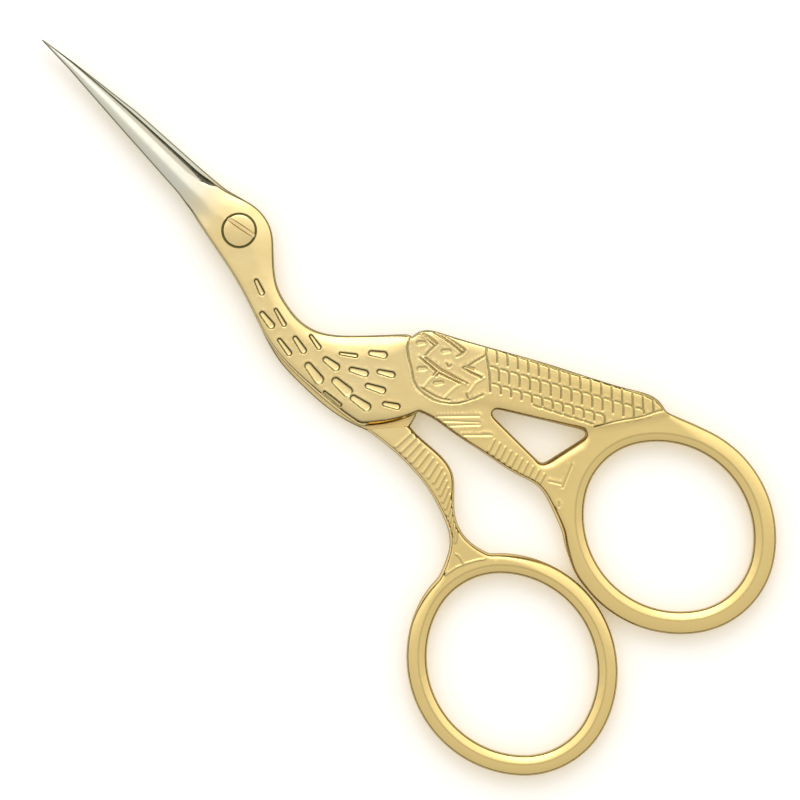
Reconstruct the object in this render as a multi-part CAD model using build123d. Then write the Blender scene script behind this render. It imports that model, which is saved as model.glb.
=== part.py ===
from build123d import *
import os
from math import atan2, cos, degrees, hypot, radians, sin

# Stork embroidery scissors, closed. Millimetres. The origin is on the pivot axis at the underside.
# +X runs along the beak to its tip, +Y to the throat and breast side, +Z up through the pivot.
# The front half lies on top: its beak blade, neck, body, wing, one leg and one finger bow are one
# forging. The rear half lies under it, with the other blade, the breast behind, leg and bow.

# Thickness
half_thickness = 1.88
ride_gap = 0.04
leg_thickness = 3.1
bow_depth = 2.9

# Beak: the two blades
beak_length = 35.1
beak_drift = 0.57
beak_root = 6.0
front_spine_width = 2.48
front_edge_width = 2.20
rear_spine_width = 2.50
rear_edge_width = 2.00
edge_land = 0.06
blade_overlap = 0.5

# Neck and body, as reaches back from the pivot axis and rises to the throat side
pivot_throat = 3.84
pivot_nape = 3.63
crown_reach = 16.0
crown_rise = 7.8
breast_reach = 28.4
breast_rise = 6.75
hollow_reach = 13.5
hollow_rise = 2.62
notch_reach = 24.6
notch_drop = 5.98
crotch_reach = 32.5
crotch_rise = 0.15

# Wing shoulder, counted from the notch at the nape
shoulder_lip = 0.5
shoulder_length = 2.4
shoulder_drop = 2.77

# What shows of the rear half beyond the front half, and the gaps between the two
breast_show = 0.42
nape_inset = 0.12
step_gap = 0.35
breast_gap = 0.90
legs_apart = 2.10

# Finger bows
bow_reach = 65.3
front_bow_drop = 12.0
front_bow_length = 26.2
front_bow_width = 23.3
front_bow_bar = 2.9
rear_bow_shift = 1.7
rear_bow_length = 26.6
rear_bow_width = 23.8
rear_bow_bar = 2.6
rear_bow_tilt = -15.0
bow_gap = 0.10

# Window between the leg and the wing
window_round = 0.55

# Pivot screw
head_radius = 2.06
head_height = 0.85
head_gap = 0.20
seat_gap = 0.04
head_sink = 0.05
head_round = 0.15
shank_radius = 1.50
shank_gap = 0.04
thread_radius = 1.20
thread_gap = 0.02
slot_width = 0.50
slot_depth = 0.40
slot_shift = 0.50
slot_turn = 11.0

# One overrun serves every cut
overrun = 1.0

total_thickness = 2 * half_thickness + ride_gap
joint_plane = total_thickness / 2
front_face = half_thickness + ride_gap
leg_base = joint_plane - leg_thickness / 2
bow_arc_share = 0.86

# Blade sections, from the root to the tip. Each row: how far along the blade, then the spine, the
# upper ridge, the lower ridge and the cutting edge as shares of the blade's two widths, then the
# share of the half's thickness that is left there.
front_blade_shares = (
    (0.0, 1.00, 0.36, -0.90, -1.00, 1.00),
    (0.10, 0.80, 0.27, -0.33, -0.80, 0.96),
    (0.48, 0.46, 0.09, -0.32, -0.62, 0.74),
    (0.82, 0.13, -0.06, -0.22, -0.32, 0.46),
    (1.0, 0.03, 0.01, -0.01, -0.03, 0.22),
)
rear_blade_shares = (
    (0.0, 1.00, 0.40, -0.80, -1.00, 1.00),
    (0.10, 0.92, 0.40, -0.20, -0.78, 0.96),
    (0.48, 0.73, 0.36, 0.02, -0.42, 0.74),
    (0.82, 0.31, 0.18, 0.08, -0.05, 0.46),
    (1.0, 0.03, 0.01, -0.01, -0.03, 0.22),
)
spine_height_share = 0.45

# Outline bends: how far along the straight line from one end to the other, and how far to its left
head_throat_shares = ((0.5, -0.010),)
neck_throat_shares = ((0.24, 0.008), (0.50, -0.005), (0.75, -0.024))
breast_crown_shares = ((0.32, -0.023), (0.70, -0.026))
breast_edge_shares = ((0.30, -0.053), (0.60, -0.065), (0.88, -0.030))
leg_edge_shares = ((0.10, 0.012), (0.30, 0.0), (0.55, -0.004), (0.85, -0.006))
leg_flare_shares = (
    (0.10, 0.004), (0.22, -0.012), (0.34, -0.034), (0.46, -0.070), (0.64, -0.118), (0.82, -0.100),
)
wing_edge_shares = ((0.06, -0.040), (0.16, -0.040), (0.50, -0.027), (0.85, -0.006))
shoulder_shares = ((0.35, -0.15), (0.75, -0.14))
nape_back_shares = ((0.28, 0.045), (0.50, 0.078), (0.68, 0.093), (0.86, 0.070))
nape_head_shares = ((0.17, 0.058), (0.32, 0.080), (0.46, 0.061), (0.63, 0.008), (0.80, -0.036))
chin_shares = ((0.25, -0.030), (0.65, 0.0))
tail_flare_shares = ((0.22, -0.105), (0.52, -0.110), (0.80, -0.050))
rear_inner_leg_shares = ((0.20, 0.067), (0.38, 0.127), (0.47, 0.130), (0.62, 0.068), (0.84, -0.018))
rear_inner_flare_shares = (
    (0.08, -0.006), (0.19, 0.010), (0.31, 0.067), (0.42, 0.120), (0.54, 0.142), (0.75, 0.138),
)
rear_outer_leg_shares = ((0.16, 0.048), (0.37, 0.090), (0.60, 0.103), (0.80, 0.076))
rear_outer_flare_shares = ((0.18, 0.011), (0.35, -0.017), (0.55, -0.069), (0.78, -0.066))
rear_throat_shares = ((0.37, 0.014), (0.75, -0.012))
rear_breast_shares = ((0.20, -0.032), (0.55, -0.060), (0.88, -0.032))

# Where outlines meet the bows, as shares of the bow's outer half length and half width
leg_bend_shares = (1.05, 0.62)
leg_landing_shares = (-0.17, 0.90)
tail_corner_shares = (0.73, -0.77)
tail_landing_shares = (-0.05, -0.89)
rear_bend_shares = (1.03, -0.55)
rear_inner_landing_shares = (-0.25, -0.86)
rear_knee_shares = (1.14, -0.41)
rear_outer_landing_shares = (0.64, 0.62)

# Window corners, on the straight line of the front leg
window_shares = ((0.933, 0.147), (0.354, 0.275), (1.118, 0.530))


def stretch(start, end, shares):
    """Points from start to end that bend off the straight line by the given shares."""
    run_x = end[0] - start[0]
    run_y = end[1] - start[1]
    bends = [(start[0] + s * run_x - t * run_y, start[1] + s * run_y + t * run_x) for s, t in shares]
    return [start] + bends + [end]


def curve(*runs):
    """One smooth curve through several stretches, each starting where the last one ends."""
    points = list(runs[0])
    for run in runs[1:]:
        points += run[1:]
    return Spline(*points)


def prism(outline, bottom, top):
    """An upright solid of a closed outline."""
    return extrude(Pos(0, 0, bottom) * make_face(outline), amount=top - bottom)


def centre_line(x):
    """How far to the throat side the beak's middle lies at a reach from the pivot."""
    return beak_drift * x / beak_length


def on_bow(bow, shares):
    """A point placed by shares of a bow's outer half length and half width."""
    centre, half_length, half_width = bow[0], bow[1] / 2 + bow[3] / 2, bow[2] / 2 + bow[3] / 2
    return (centre[0] + shares[0] * half_length, centre[1] + shares[1] * half_width)


# Places worked out from the sizes above
front_root_throat = (beak_root, centre_line(beak_root) + front_spine_width)
front_root_chin = (beak_root, centre_line(beak_root) - front_edge_width)
rear_root_throat = (beak_root, centre_line(beak_root) + rear_edge_width)
rear_root_chin = (beak_root, centre_line(beak_root) - rear_spine_width)
throat = (0, pivot_throat)
nape = (0, -pivot_nape)
crown = (-crown_reach, crown_rise)
breast = (-breast_reach, breast_rise)
hollow = (-hollow_reach, hollow_rise)
notch = (-notch_reach, -notch_drop)
crotch = (-crotch_reach, crotch_rise)
lip = (notch[0] - shoulder_lip, notch[1])
shoulder = (notch[0] - shoulder_length, notch[1] - shoulder_drop)

front_bow = ((-bow_reach, -front_bow_drop), front_bow_length, front_bow_width, front_bow_bar, 0.0)
front_bow_top = -front_bow_drop + front_bow_width / 2 + front_bow_bar / 2
rear_bow_turn = radians(rear_bow_tilt)
rear_bow_half = hypot(rear_bow_length * sin(rear_bow_turn), rear_bow_width * cos(rear_bow_turn)) / 2
rear_bow_rise = front_bow_top + bow_gap + rear_bow_bar / 2 + rear_bow_half
rear_bow_centre = (-bow_reach + rear_bow_shift, rear_bow_rise)
rear_bow = (rear_bow_centre, rear_bow_length, rear_bow_width, rear_bow_bar, rear_bow_tilt)

leg_bend = on_bow(front_bow, leg_bend_shares)
leg_landing = on_bow(front_bow, leg_landing_shares)
tail_corner = on_bow(front_bow, tail_corner_shares)
tail_landing = on_bow(front_bow, tail_landing_shares)
rear_bend = on_bow(rear_bow, rear_bend_shares)
rear_inner_landing = on_bow(rear_bow, rear_inner_landing_shares)
rear_knee = on_bow(rear_bow, rear_knee_shares)
rear_outer_landing = on_bow(rear_bow, rear_outer_landing_shares)
window_points = stretch(crotch, leg_bend, window_shares)[1:-1]
rear_breast = (breast[0] - breast_gap, breast[1] - breast_show / 2)
rear_crotch = (crotch[0] - breast_gap / 2, crotch[1] + legs_apart)


def blade(rows, spine_width, edge_width, side):
    """One faceted blade: side is 1 for the front half, whose spine is at the throat, -1 for the rear."""
    inner = joint_plane + side * ride_gap / 2
    length = beak_length - beak_root
    stations = [(-blade_overlap / length,) + rows[0][1:]] + list(rows)
    sections = []
    for along, spine, ridge, bevel, edge, depth in stations:
        x = beak_root + along * length
        middle = centre_line(x)
        across = [spine * spine_width, ridge * spine_width, bevel * edge_width, edge * edge_width]
        if ridge < 0:
            across[1] = ridge * edge_width
        if bevel > 0:
            across[2] = bevel * spine_width
        ys = [middle + side * a for a in across]
        thick = depth * half_thickness
        outer = inner + side * thick
        corners = [
            (ys[0], inner),
            (ys[0], inner + side * spine_height_share * thick),
            (ys[1], outer),
            (ys[2], outer),
            (ys[3], inner + side * edge_land),
            (ys[3], inner),
        ]
        wire = Polyline(*[(x, y, z) for y, z in corners], close=True)
        sections.append(make_face(wire))
    return loft(sections, ruled=True)


def oval_arcs(length, width):
    """The two radii of a four-arc oval, and how far their centres lie from its middle."""
    half_length, half_width = length / 2, width / 2
    end_radius = bow_arc_share * half_width
    reach = half_length - end_radius
    side_radius = (reach ** 2 + half_width ** 2 - end_radius ** 2) / (2 * (half_width - end_radius))
    return end_radius, side_radius, reach, side_radius - half_width


def oval_face(length, width):
    """A flat oval of four tangent arcs, centred on the origin."""
    end_radius, side_radius, reach, drop = oval_arcs(length, width)
    turn = atan2(drop, reach)
    join = (reach + end_radius * cos(turn), end_radius * sin(turn))
    right = ThreePointArc((join[0], -join[1]), (length / 2, 0), join)
    top = ThreePointArc(join, (0, width / 2), (-join[0], join[1]))
    left = ThreePointArc((-join[0], join[1]), (-length / 2, 0), (-join[0], -join[1]))
    bottom = ThreePointArc((-join[0], -join[1]), (0, -width / 2), (join[0], -join[1]))
    return make_face([right, top, left, bottom])


def bow_ring(bow):
    """The finger bow: an oval bar round a four-arc oval, each arc a slice of a torus."""
    centre, length, width, bar, tilt = bow
    if width > length:
        return bow_ring((centre, width, length, bar, tilt + 90))
    end_radius, side_radius, reach, drop = oval_arcs(length, width)
    turn = degrees(atan2(drop, reach))
    section = Plane.XZ * Ellipse(bar / 2, bow_depth / 2)
    slices = []
    for side in (1, -1):
        end_start = 0 if side == 1 else 180
        end = revolve(Pos(end_radius, 0, 0) * section, Axis.Z, 2 * turn)
        slices.append(Pos(side * reach, 0, 0) * Rot(0, 0, end_start - turn) * end)
        long_arc = revolve(Pos(side_radius, 0, 0) * section, Axis.Z, 2 * (90 - turn))
        slices.append(Pos(0, -side * drop, 0) * Rot(0, 0, end_start + turn) * long_arc)
    ring = slices[0] + slices[1:]
    return Pos(centre[0], centre[1], joint_plane) * Rot(0, 0, tilt) * ring


def bow_core(bow, bottom, top):
    """The upright oval inside the bow bar's middle line."""
    centre, length, width, bar, tilt = bow
    if width > length:
        return bow_core((centre, width, length, bar, tilt + 90), bottom, top)
    core = extrude(oval_face(length, width), amount=top - bottom)
    return Pos(centre[0], centre[1], bottom) * Rot(0, 0, tilt) * core


def window_cut():
    """The three-cornered window between the front leg and the wing, with rounded corners."""
    sketch = make_face(Polyline(*window_points, close=True))
    sketch = fillet(sketch.vertices(), window_round)
    return extrude(Pos(0, 0, -overrun) * sketch, amount=total_thickness + 2 * overrun)


def make_front_half():
    """Front half: blade, neck and breast on the upper layer, wing, leg and bow of full thickness."""
    lap = prism([
        curve(stretch(front_root_throat, throat, head_throat_shares),
              stretch(throat, crown, neck_throat_shares),
              stretch(crown, breast, breast_crown_shares)),
        curve(stretch(breast, crotch, breast_edge_shares)),
        Line(crotch, notch),
        curve(stretch(notch, hollow, nape_back_shares),
              stretch(hollow, nape, nape_head_shares),
              stretch(nape, front_root_chin, chin_shares)),
        Line(front_root_chin, front_root_throat),
    ], front_face, total_thickness)
    wing = prism([
        Line(crotch, window_points[1]),
        Line(window_points[1], window_points[2]),
        Line(window_points[2], tail_corner),
        curve(stretch(tail_corner, shoulder, wing_edge_shares), stretch(shoulder, lip, shoulder_shares)),
        Line(lip, notch),
        Line(notch, crotch),
    ], 0, total_thickness)
    leg = prism([
        curve(stretch(crotch, leg_bend, leg_edge_shares), stretch(leg_bend, leg_landing, leg_flare_shares)),
        Line(leg_landing, front_bow[0]),
        Line(front_bow[0], tail_landing),
        curve(stretch(tail_landing, tail_corner, tail_flare_shares)),
        Line(tail_corner, window_points[2]),
        Line(window_points[2], window_points[1]),
        Line(window_points[1], crotch),
    ], leg_base, leg_base + leg_thickness)
    leg = leg - bow_core(front_bow, 0, total_thickness)
    body = lap + blade(front_blade_shares, front_spine_width, front_edge_width, 1)
    body = body + wing + leg + bow_ring(front_bow)
    body = body - window_cut()
    bore = Cylinder(shank_radius + shank_gap, total_thickness + 2 * overrun)
    sink_depth = head_height + head_sink + seat_gap
    sink = Pos(0, 0, total_thickness) * Cylinder(head_radius + head_gap, 2 * sink_depth)
    return body - bore - sink


def make_rear_half():
    """Rear half: blade, neck and breast on the lower layer, leg and bow of full thickness."""
    rear_crown = (crown[0], crown[1] + breast_show)
    rear_notch = (notch[0], notch[1] + step_gap)
    step_corner = (crotch[0], crotch[1] + step_gap)
    rear_hollow = (hollow[0], hollow[1] + nape_inset)
    rear_nape = (nape[0], nape[1] + nape_inset)
    rear_throat = (throat[0], throat[1] - nape_inset)
    outer_leg = stretch(rear_breast, rear_knee, rear_outer_leg_shares)
    lap = prism([
        curve(stretch(rear_root_throat, rear_throat, head_throat_shares),
              stretch(rear_throat, rear_crown, rear_throat_shares),
              stretch(rear_crown, rear_breast, rear_breast_shares)),
        Line(rear_breast, rear_crotch),
        Line(rear_crotch, step_corner),
        Line(step_corner, rear_notch),
        curve(stretch(rear_notch, rear_hollow, nape_back_shares),
              stretch(rear_hollow, rear_nape, nape_head_shares),
              stretch(rear_nape, rear_root_chin, chin_shares)),
        Line(rear_root_chin, rear_root_throat),
    ], 0, half_thickness)
    leg = prism([
        Line(rear_crotch, rear_breast),
        curve(outer_leg, stretch(rear_knee, rear_outer_landing, rear_outer_flare_shares)),
        Line(rear_outer_landing, rear_bow[0]),
        Line(rear_bow[0], rear_inner_landing),
        curve(stretch(rear_crotch, rear_bend, rear_inner_leg_shares),
              stretch(rear_bend, rear_inner_landing, rear_inner_flare_shares)),
    ], leg_base, leg_base + leg_thickness)
    leg = leg - bow_core(rear_bow, 0, total_thickness)
    body = lap + blade(rear_blade_shares, rear_spine_width, rear_edge_width, -1)
    body = body + leg + bow_ring(rear_bow)
    return body - Cylinder(thread_radius + thread_gap, total_thickness + 2 * overrun)


def make_screw():
    """Shoulder screw: slotted head, plain shank for the front half, threaded end shown plain."""
    head_top = total_thickness - head_sink
    head_base = head_top - head_height
    head = Pos(0, 0, head_base) * extrude(Circle(head_radius), amount=head_height)
    head = fillet(head.edges().group_by(Axis.Z)[-1], head_round)
    shank = Pos(0, 0, half_thickness) * extrude(Circle(shank_radius), amount=head_base - half_thickness)
    end = extrude(Circle(thread_radius), amount=half_thickness)
    slot = Pos(0, -slot_shift, 0) * Box(3 * head_radius, slot_width, 2 * slot_depth)
    return head + shank + end - Pos(0, 0, head_top) * Rot(0, 0, slot_turn) * slot


nodes = {"front_half": make_front_half(), "rear_half": make_rear_half(), "pivot_screw": make_screw()}
os.makedirs("parts", exist_ok=True)
for name, solid in nodes.items():
    export_step(solid, "parts/" + name + ".step")
    print(name, len(solid.solids()), round(solid.volume, 1))
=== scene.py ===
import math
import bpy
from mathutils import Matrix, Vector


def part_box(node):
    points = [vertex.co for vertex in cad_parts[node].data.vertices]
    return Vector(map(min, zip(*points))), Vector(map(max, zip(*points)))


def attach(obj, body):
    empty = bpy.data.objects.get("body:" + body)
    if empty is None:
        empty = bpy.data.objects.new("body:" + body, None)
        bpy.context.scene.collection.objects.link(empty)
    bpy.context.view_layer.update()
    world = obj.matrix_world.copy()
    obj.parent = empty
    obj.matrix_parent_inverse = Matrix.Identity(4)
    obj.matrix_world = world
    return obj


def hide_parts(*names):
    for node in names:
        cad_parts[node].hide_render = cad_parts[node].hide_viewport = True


bl_info = {
    "name": "Stork embroidery scissors",
    "version": (1, 0, 0),
    "blender": (4, 5, 0),
    "location": "View3D > Sidebar > Scissors",
    "description": "Dresses the two gilt halves and the pivot screw, and sets a plain white stage",
    "category": "Object",
}

import bmesh
import bpy
import numpy as np
from mathutils import Matrix, Vector
from mathutils.geometry import delaunay_2d_cdt

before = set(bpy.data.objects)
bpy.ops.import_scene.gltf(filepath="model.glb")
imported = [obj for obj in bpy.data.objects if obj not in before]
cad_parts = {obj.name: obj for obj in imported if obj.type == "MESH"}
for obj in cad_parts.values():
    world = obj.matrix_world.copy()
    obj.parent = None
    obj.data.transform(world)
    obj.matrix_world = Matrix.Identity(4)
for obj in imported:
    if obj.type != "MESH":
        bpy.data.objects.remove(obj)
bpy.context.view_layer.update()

# Everything below is in millimetres until a mesh is made. MM turns it into metres.
MM = 0.001

# Heights that come from the solids, counted from the plane where the two halves meet
joint_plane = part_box("front_half")[1].z / MM / 2
lap_rise = joint_plane
leg_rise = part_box("rear_half")[1].z / MM - joint_plane
lap_gap = 0.02
bow_rise = 1.45
body_rise = lap_rise - 0.07
wing_rise = lap_rise - 0.12

# Level cuts through the solids that give the plan outlines
front_cut = joint_plane + 0.1
rear_cut = joint_plane - 0.1

# Places of the upright steps where the lapped body meets the full thickness
crotch = (-32.5, 0.15)
notch = (-24.6, -5.98)
rear_breast = (-29.3, 6.54)
rear_crotch = (-32.95, 2.25)
step_corner = (-32.5, 0.50)
rear_notch = (-24.6, -5.63)

# Pivot screw and its seat in the front half
seat_radius = 2.26
seat_rise = 2.86 - joint_plane
head_radius = 2.06
head_top = 3.75
head_base = 2.90
shank_radius = 1.50
thread_radius = 1.20
slot_width = 0.50
slot_depth = 0.40
slot_shift = 0.50
slot_turn = 11.0
thread_top = 1.86
shank_base = 1.88
thread_chamfer = 0.08
head_chamfer = 0.05

# The head's crown, from its rim to its middle: how far in from the rim and how far below the top
head_crown = (
    (0.0, 0.22), (0.03, 0.17), (0.10, 0.13), (0.22, 0.10), (0.5, 0.062), (0.9, 0.026),
    (1.4, 0.006),
)

# How an outline's edge is worked, place by place round it: x, y, the width over which the face
# rises from the rim, the rim's share of the full height, and how pointed the crest is.
front_edge = (
    (34.0, 0.75, 0.30, 0.90, 0.2),
    (7.5, 2.40, 0.30, 0.85, 0.2),
    (3.5, 3.40, 0.45, 0.80, 0.2),
    (0.0, 3.84, 0.45, 0.78, 0.2),
    (-8.0, 5.90, 0.50, 0.78, 0.2),
    (-14.0, 7.50, 0.60, 0.72, 0.2),
    (-19.0, 7.70, 0.75, 0.66, 0.3),
    (-24.0, 7.40, 1.10, 0.58, 0.4),
    (-28.0, 6.80, 1.50, 0.50, 0.5),
    (-30.0, 4.90, 1.40, 0.50, 0.5),
    (-31.8, 2.20, 0.80, 0.60, 0.4),
    (-32.5, 0.15, 0.50, 0.68, 0.3),
    (-38.0, -1.40, 0.45, 0.62, 0.3),
    (-46.0, -3.10, 0.45, 0.62, 0.3),
    (-50.0, -3.85, 0.50, 0.55, 0.3),
    (-55.0, -2.20, 0.90, 0.35, 0.25),
    (-60.0, 0.20, 1.50, 0.62, 0.35),
    (-65.0, 1.10, 1.75, 0.68, 0.35),
    (-79.8, -12.0, 1.75, 0.68, 0.35),
    (-66.0, -25.1, 1.75, 0.68, 0.35),
    (-60.0, -24.2, 1.60, 0.68, 0.35),
    (-56.5, -22.9, 0.90, 0.74, 0.2),
    (-54.7, -22.1, 0.90, 0.88, 0.0),
    (-45.0, -18.4, 1.40, 0.90, 0.0),
    (-33.0, -11.8, 1.40, 0.90, 0.0),
    (-27.5, -9.10, 1.30, 0.86, 0.0),
    (-25.3, -7.40, 0.80, 0.80, 0.1),
    (-25.1, -6.00, 0.60, 0.80, 0.1),
    (-24.4, -5.80, 1.40, 0.68, 0.3),
    (-23.0, -4.30, 2.40, 0.62, 0.35),
    (-20.0, -1.40, 2.90, 0.62, 0.35),
    (-17.0, 1.20, 2.00, 0.66, 0.35),
    (-13.5, 2.62, 1.30, 0.70, 0.35),
    (-9.0, 1.60, 1.50, 0.70, 0.35),
    (-5.0, -1.20, 2.60, 0.66, 0.35),
    (0.0, -3.63, 4.40, 0.62, 0.4),
    (4.0, -2.70, 3.40, 0.64, 0.4),
    (6.5, -2.00, 2.60, 0.66, 0.4),
    (34.0, 0.35, 0.30, 0.90, 0.2),
)
front_bow_edge = ((-65.3, -1.8, 1.10, 0.68, 0.7), (-65.3, -22.2, 1.10, 0.68, 0.7))
window_edge = (
    (-48.4, -7.40, 1.15, 0.50, 0.3),
    (-49.5, -12.0, 1.25, 0.50, 0.3),
    (-49.2, -13.0, 0.50, 0.66, 0.2),
    (-44.0, -10.0, 0.30, 0.74, 0.2),
    (-39.4, -7.10, 0.30, 0.74, 0.2),
    (-40.5, -6.10, 0.40, 0.66, 0.2),
    (-47.0, -6.10, 0.45, 0.66, 0.2),
)
bore_edge = ((0.0, 1.5, 0.10, 1.0, 0.0), (0.0, -1.5, 0.10, 1.0, 0.0))
rear_edge = (
    (34.0, 0.75, 0.30, 0.90, 0.2),
    (3.5, 2.40, 0.45, 0.80, 0.2),
    (-14.0, 7.80, 0.60, 0.72, 0.2),
    (-24.0, 7.80, 1.10, 0.60, 0.4),
    (-29.3, 6.54, 0.50, 0.62, 0.3),
    (-38.0, 6.10, 0.45, 0.62, 0.3),
    (-47.0, 9.30, 0.50, 0.55, 0.3),
    (-49.5, 13.5, 0.80, 0.35, 0.25),
    (-51.5, 19.5, 1.55, 0.66, 0.35),
    (-63.6, 27.7, 1.60, 0.68, 0.35),
    (-78.0, 17.0, 1.60, 0.68, 0.35),
    (-64.0, 1.30, 1.60, 0.68, 0.35),
    (-58.5, 2.50, 1.40, 0.64, 0.35),
    (-54.0, 5.40, 0.80, 0.40, 0.25),
    (-49.0, 7.20, 0.50, 0.55, 0.3),
    (-40.0, 2.30, 0.45, 0.62, 0.3),
    (-32.95, 2.25, 0.45, 0.66, 0.3),
    (-24.6, -5.63, 1.40, 0.68, 0.3),
    (-20.0, -1.30, 2.80, 0.62, 0.35),
    (-13.5, 2.70, 1.30, 0.70, 0.35),
    (0.0, -3.50, 4.40, 0.62, 0.4),
    (6.5, -2.30, 2.60, 0.66, 0.4),
    (34.0, 0.35, 0.30, 0.90, 0.2),
)
rear_bow_edge = ((-63.6, 25.0, 1.10, 0.68, 0.7), (-63.6, 3.9, 1.10, 0.68, 0.7))

# Blade facets from the root to the tip: x, the upper ridge's y and height, the lower ridge's y,
# and the y where the narrow ground edge begins
blade_facets = (
    (4.4, 0.85, 1.84, -2.70, -2.80),
    (5.5, 0.85, 1.84, -2.20, -2.25),
    (6.5, 0.85, 1.84, -1.45, -1.50),
    (8.0, 0.85, 1.81, -0.90, -1.05),
    (10.0, 0.84, 1.76, -0.50, -1.08),
    (13.0, 0.79, 1.66, -0.43, -1.00),
    (18.0, 0.70, 1.44, -0.36, -0.85),
    (23.0, 0.60, 1.18, -0.25, -0.58),
    (28.0, 0.50, 0.88, -0.05, -0.22),
    (31.0, 0.48, 0.70, 0.12, 0.00),
    (35.2, 0.57, 0.36, 0.52, 0.48),
)
ridge_soft = 0.38
spine_slope = 0.50
middle_slope = 0.15
bevel_slope = 1.30
ground_slope = 0.75
edge_rise = 0.08
root_start = 2.8
root_end = 8.2
beak_length = 35.1
beak_drift = 0.57
# Painted shade on the blade: how far the lower bevel is darkened, and the strength of the painted
# shade of the gap between the blades along the ground edge
bevel_tone = 0.30
gap_shade = 0.9

# Where the painted shade of the gap between the blades begins along the ground edge, from the plunge
# at the root to the tip: x and y
gap_shade_brink = (
    (5.4, -2.35), (6.2, -1.95), (7.0, -1.62), (8.0, -1.42), (10.0, -1.20), (13.0, -1.10),
    (18.0, -0.92), (23.0, -0.66), (28.0, -0.30), (31.0, -0.06), (35.2, 0.42),
)

# The folded wing, seen from above, as far as it stands up from the leg
wing_plan = (
    (-24.6, -6.0), (-25.7, -4.9), (-27.1, -3.3), (-29.2, -2.05), (-31.0, -1.85), (-33.0, -2.3),
    (-35.3, -4.3), (-36.8, -6.5), (-37.6, -7.0), (-48.8, -13.7), (-51.2, -16.8), (-54.7, -22.0),
    (-56.0, -25.0), (-40.0, -25.0), (-23.0, -12.0),
)

# Sunk cells down the neck: two ends of each cell's middle line, and its width
neck_cells = (
    (-8.0, 3.7, -5.8, 2.9, 0.8),
    (-11.9, 5.7, -9.2, 5.4, 1.0),
    (-12.8, 4.5, -10.2, 3.8, 0.7),
    (-15.9, 6.6, -13.2, 6.2, 0.8),
    (-17.0, 5.1, -14.4, 4.6, 0.9),
    (-18.0, 3.4, -15.7, 3.0, 0.7),
    (-21.2, 6.3, -17.9, 5.9, 1.3),
    (-21.5, 3.5, -19.0, 3.9, 1.1),
    (-22.0, 0.6, -20.0, 2.1, 0.6),
    (-24.9, 4.7, -21.7, 4.9, 1.4),
    (-25.0, 6.6, -22.0, 6.9, 0.6),
    (-27.9, 4.3, -24.9, 4.9, 1.2),
    (-27.7, 1.3, -25.2, 2.6, 1.0),
    (-24.6, 1.3, -22.3, 2.6, 1.0),
    (-30.4, 1.4, -28.4, 2.7, 0.9),
    (-27.1, -1.0, -25.0, 0.3, 0.9),
    (-24.6, -2.1, -22.6, -0.6, 1.0),
)

# Engraved lines of the wing's shoulder, placed by pixels of the photograph: the border, its inner
# line, the edge towards the feathers, then the zigzags from the nape towards the tail
shoulder_lines = (
    ((408.6, 338.3), (407.4, 349.2), (408.6, 359.0), (411.1, 367.4), (413.6, 380.8), (417.1, 387.4),
     (422.0, 392.3), (429.2, 397.3), (434.1, 400.2), (440.8, 402.3), (449.8, 403.8), (458.0, 403.6),
     (465.6, 401.7), (475.0, 398.4), (482.8, 394.7)),
    ((421.4, 388.0), (426.2, 391.2), (435.3, 396.5), (441.5, 399.0), (449.5, 400.2)),
    ((486.6, 346.8), (485.6, 355.3), (487.4, 363.8), (488.9, 373.5), (489.5, 383.2), (489.9, 392.0)),
    ((420.0, 334.0), (425.2, 337.3), (431.7, 343.2), (434.3, 345.9)),
    ((422.6, 333.4), (429.2, 337.1), (437.6, 343.9), (434.3, 346.6), (429.2, 351.1), (425.2, 355.6)),
    ((419.6, 357.7), (428.0, 364.5), (436.0, 371.6), (433.2, 376.2)),
    ((425.6, 357.7), (433.5, 363.8), (441.4, 369.8), (448.6, 373.5), (457.6, 378.8), (467.2, 383.8)),
    ((436.4, 376.0), (437.9, 373.4), (447.0, 377.0), (456.5, 381.4), (459.2, 383.2)),
    ((433.5, 331.7), (444.4, 338.9), (452.3, 345.0), (459.5, 351.1), (461.5, 353.6)),
    ((445.6, 337.1), (453.5, 342.0), (463.2, 348.6), (465.2, 350.6), (461.4, 354.2), (456.5, 356.8)),
    ((485.2, 355.9), (475.3, 361.4), (468.0, 366.2), (462.2, 368.0), (471.7, 373.5), (481.0, 377.8)),
    ((468.0, 366.9), (474.3, 368.7)),
    ((446.2, 363.8), (448.6, 367.4), (451.0, 365.2)),
    ((466.2, 394.0), (467.4, 398.9)),
)
shoulder_ridges = (
    ((422.7, 357.8), (438.6, 371.0), (450.0, 377.0), (465.6, 384.0)),
    ((436.5, 373.2), (428.6, 380.8), (423.4, 387.2)),
    ((457.6, 385.6), (451.0, 391.0), (444.2, 397.8)),
    ((483.8, 378.0), (475.3, 383.2), (468.9, 392.3)),
    ((442.8, 335.0), (455.0, 344.6), (463.0, 350.9)),
    ((421.6, 335.2), (429.2, 340.4), (435.6, 345.1)),
    ((467.6, 369.0), (482.0, 375.6)),
)
shoulder_drops = (
    (415.8, 343.4, 426.2, 342.4, 5.8),
    (440.6, 351.6, 451.4, 350.8, 5.8),
    (416.4, 369.2, 427.4, 368.2, 5.8),
    (432.6, 383.4, 444.0, 382.4, 5.8),
)

# Long grooves and short marks on the front leg, and the mark where the rear leg meets its bow
front_leg_lines = (
    ((-34.4, -1.0), (-38.2, -4.9)),
    ((-35.5, -1.3), (-38.9, -4.4)),
    ((-36.4, -1.3), (-39.1, -4.2)),
    ((-38.5, -1.7), (-41.1, -4.3)),
    ((-40.9, -4.2), (-40.2, -3.6)),
    ((-51.7, -6.1), (-50.4, -5.3)),
    ((-52.2, -6.0), (-51.0, -8.8)),
    ((-53.6, -3.9), (-53.2, -4.3)),
)
rear_mark_ridges = (
    ((-49.5, 12.4), (-49.8, 10.8), (-50.3, 9.6), (-51.0, 8.3), (-51.6, 7.5)),
    ((-50.0, 9.75), (-49.2, 9.5), (-48.6, 9.6)),
)

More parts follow.
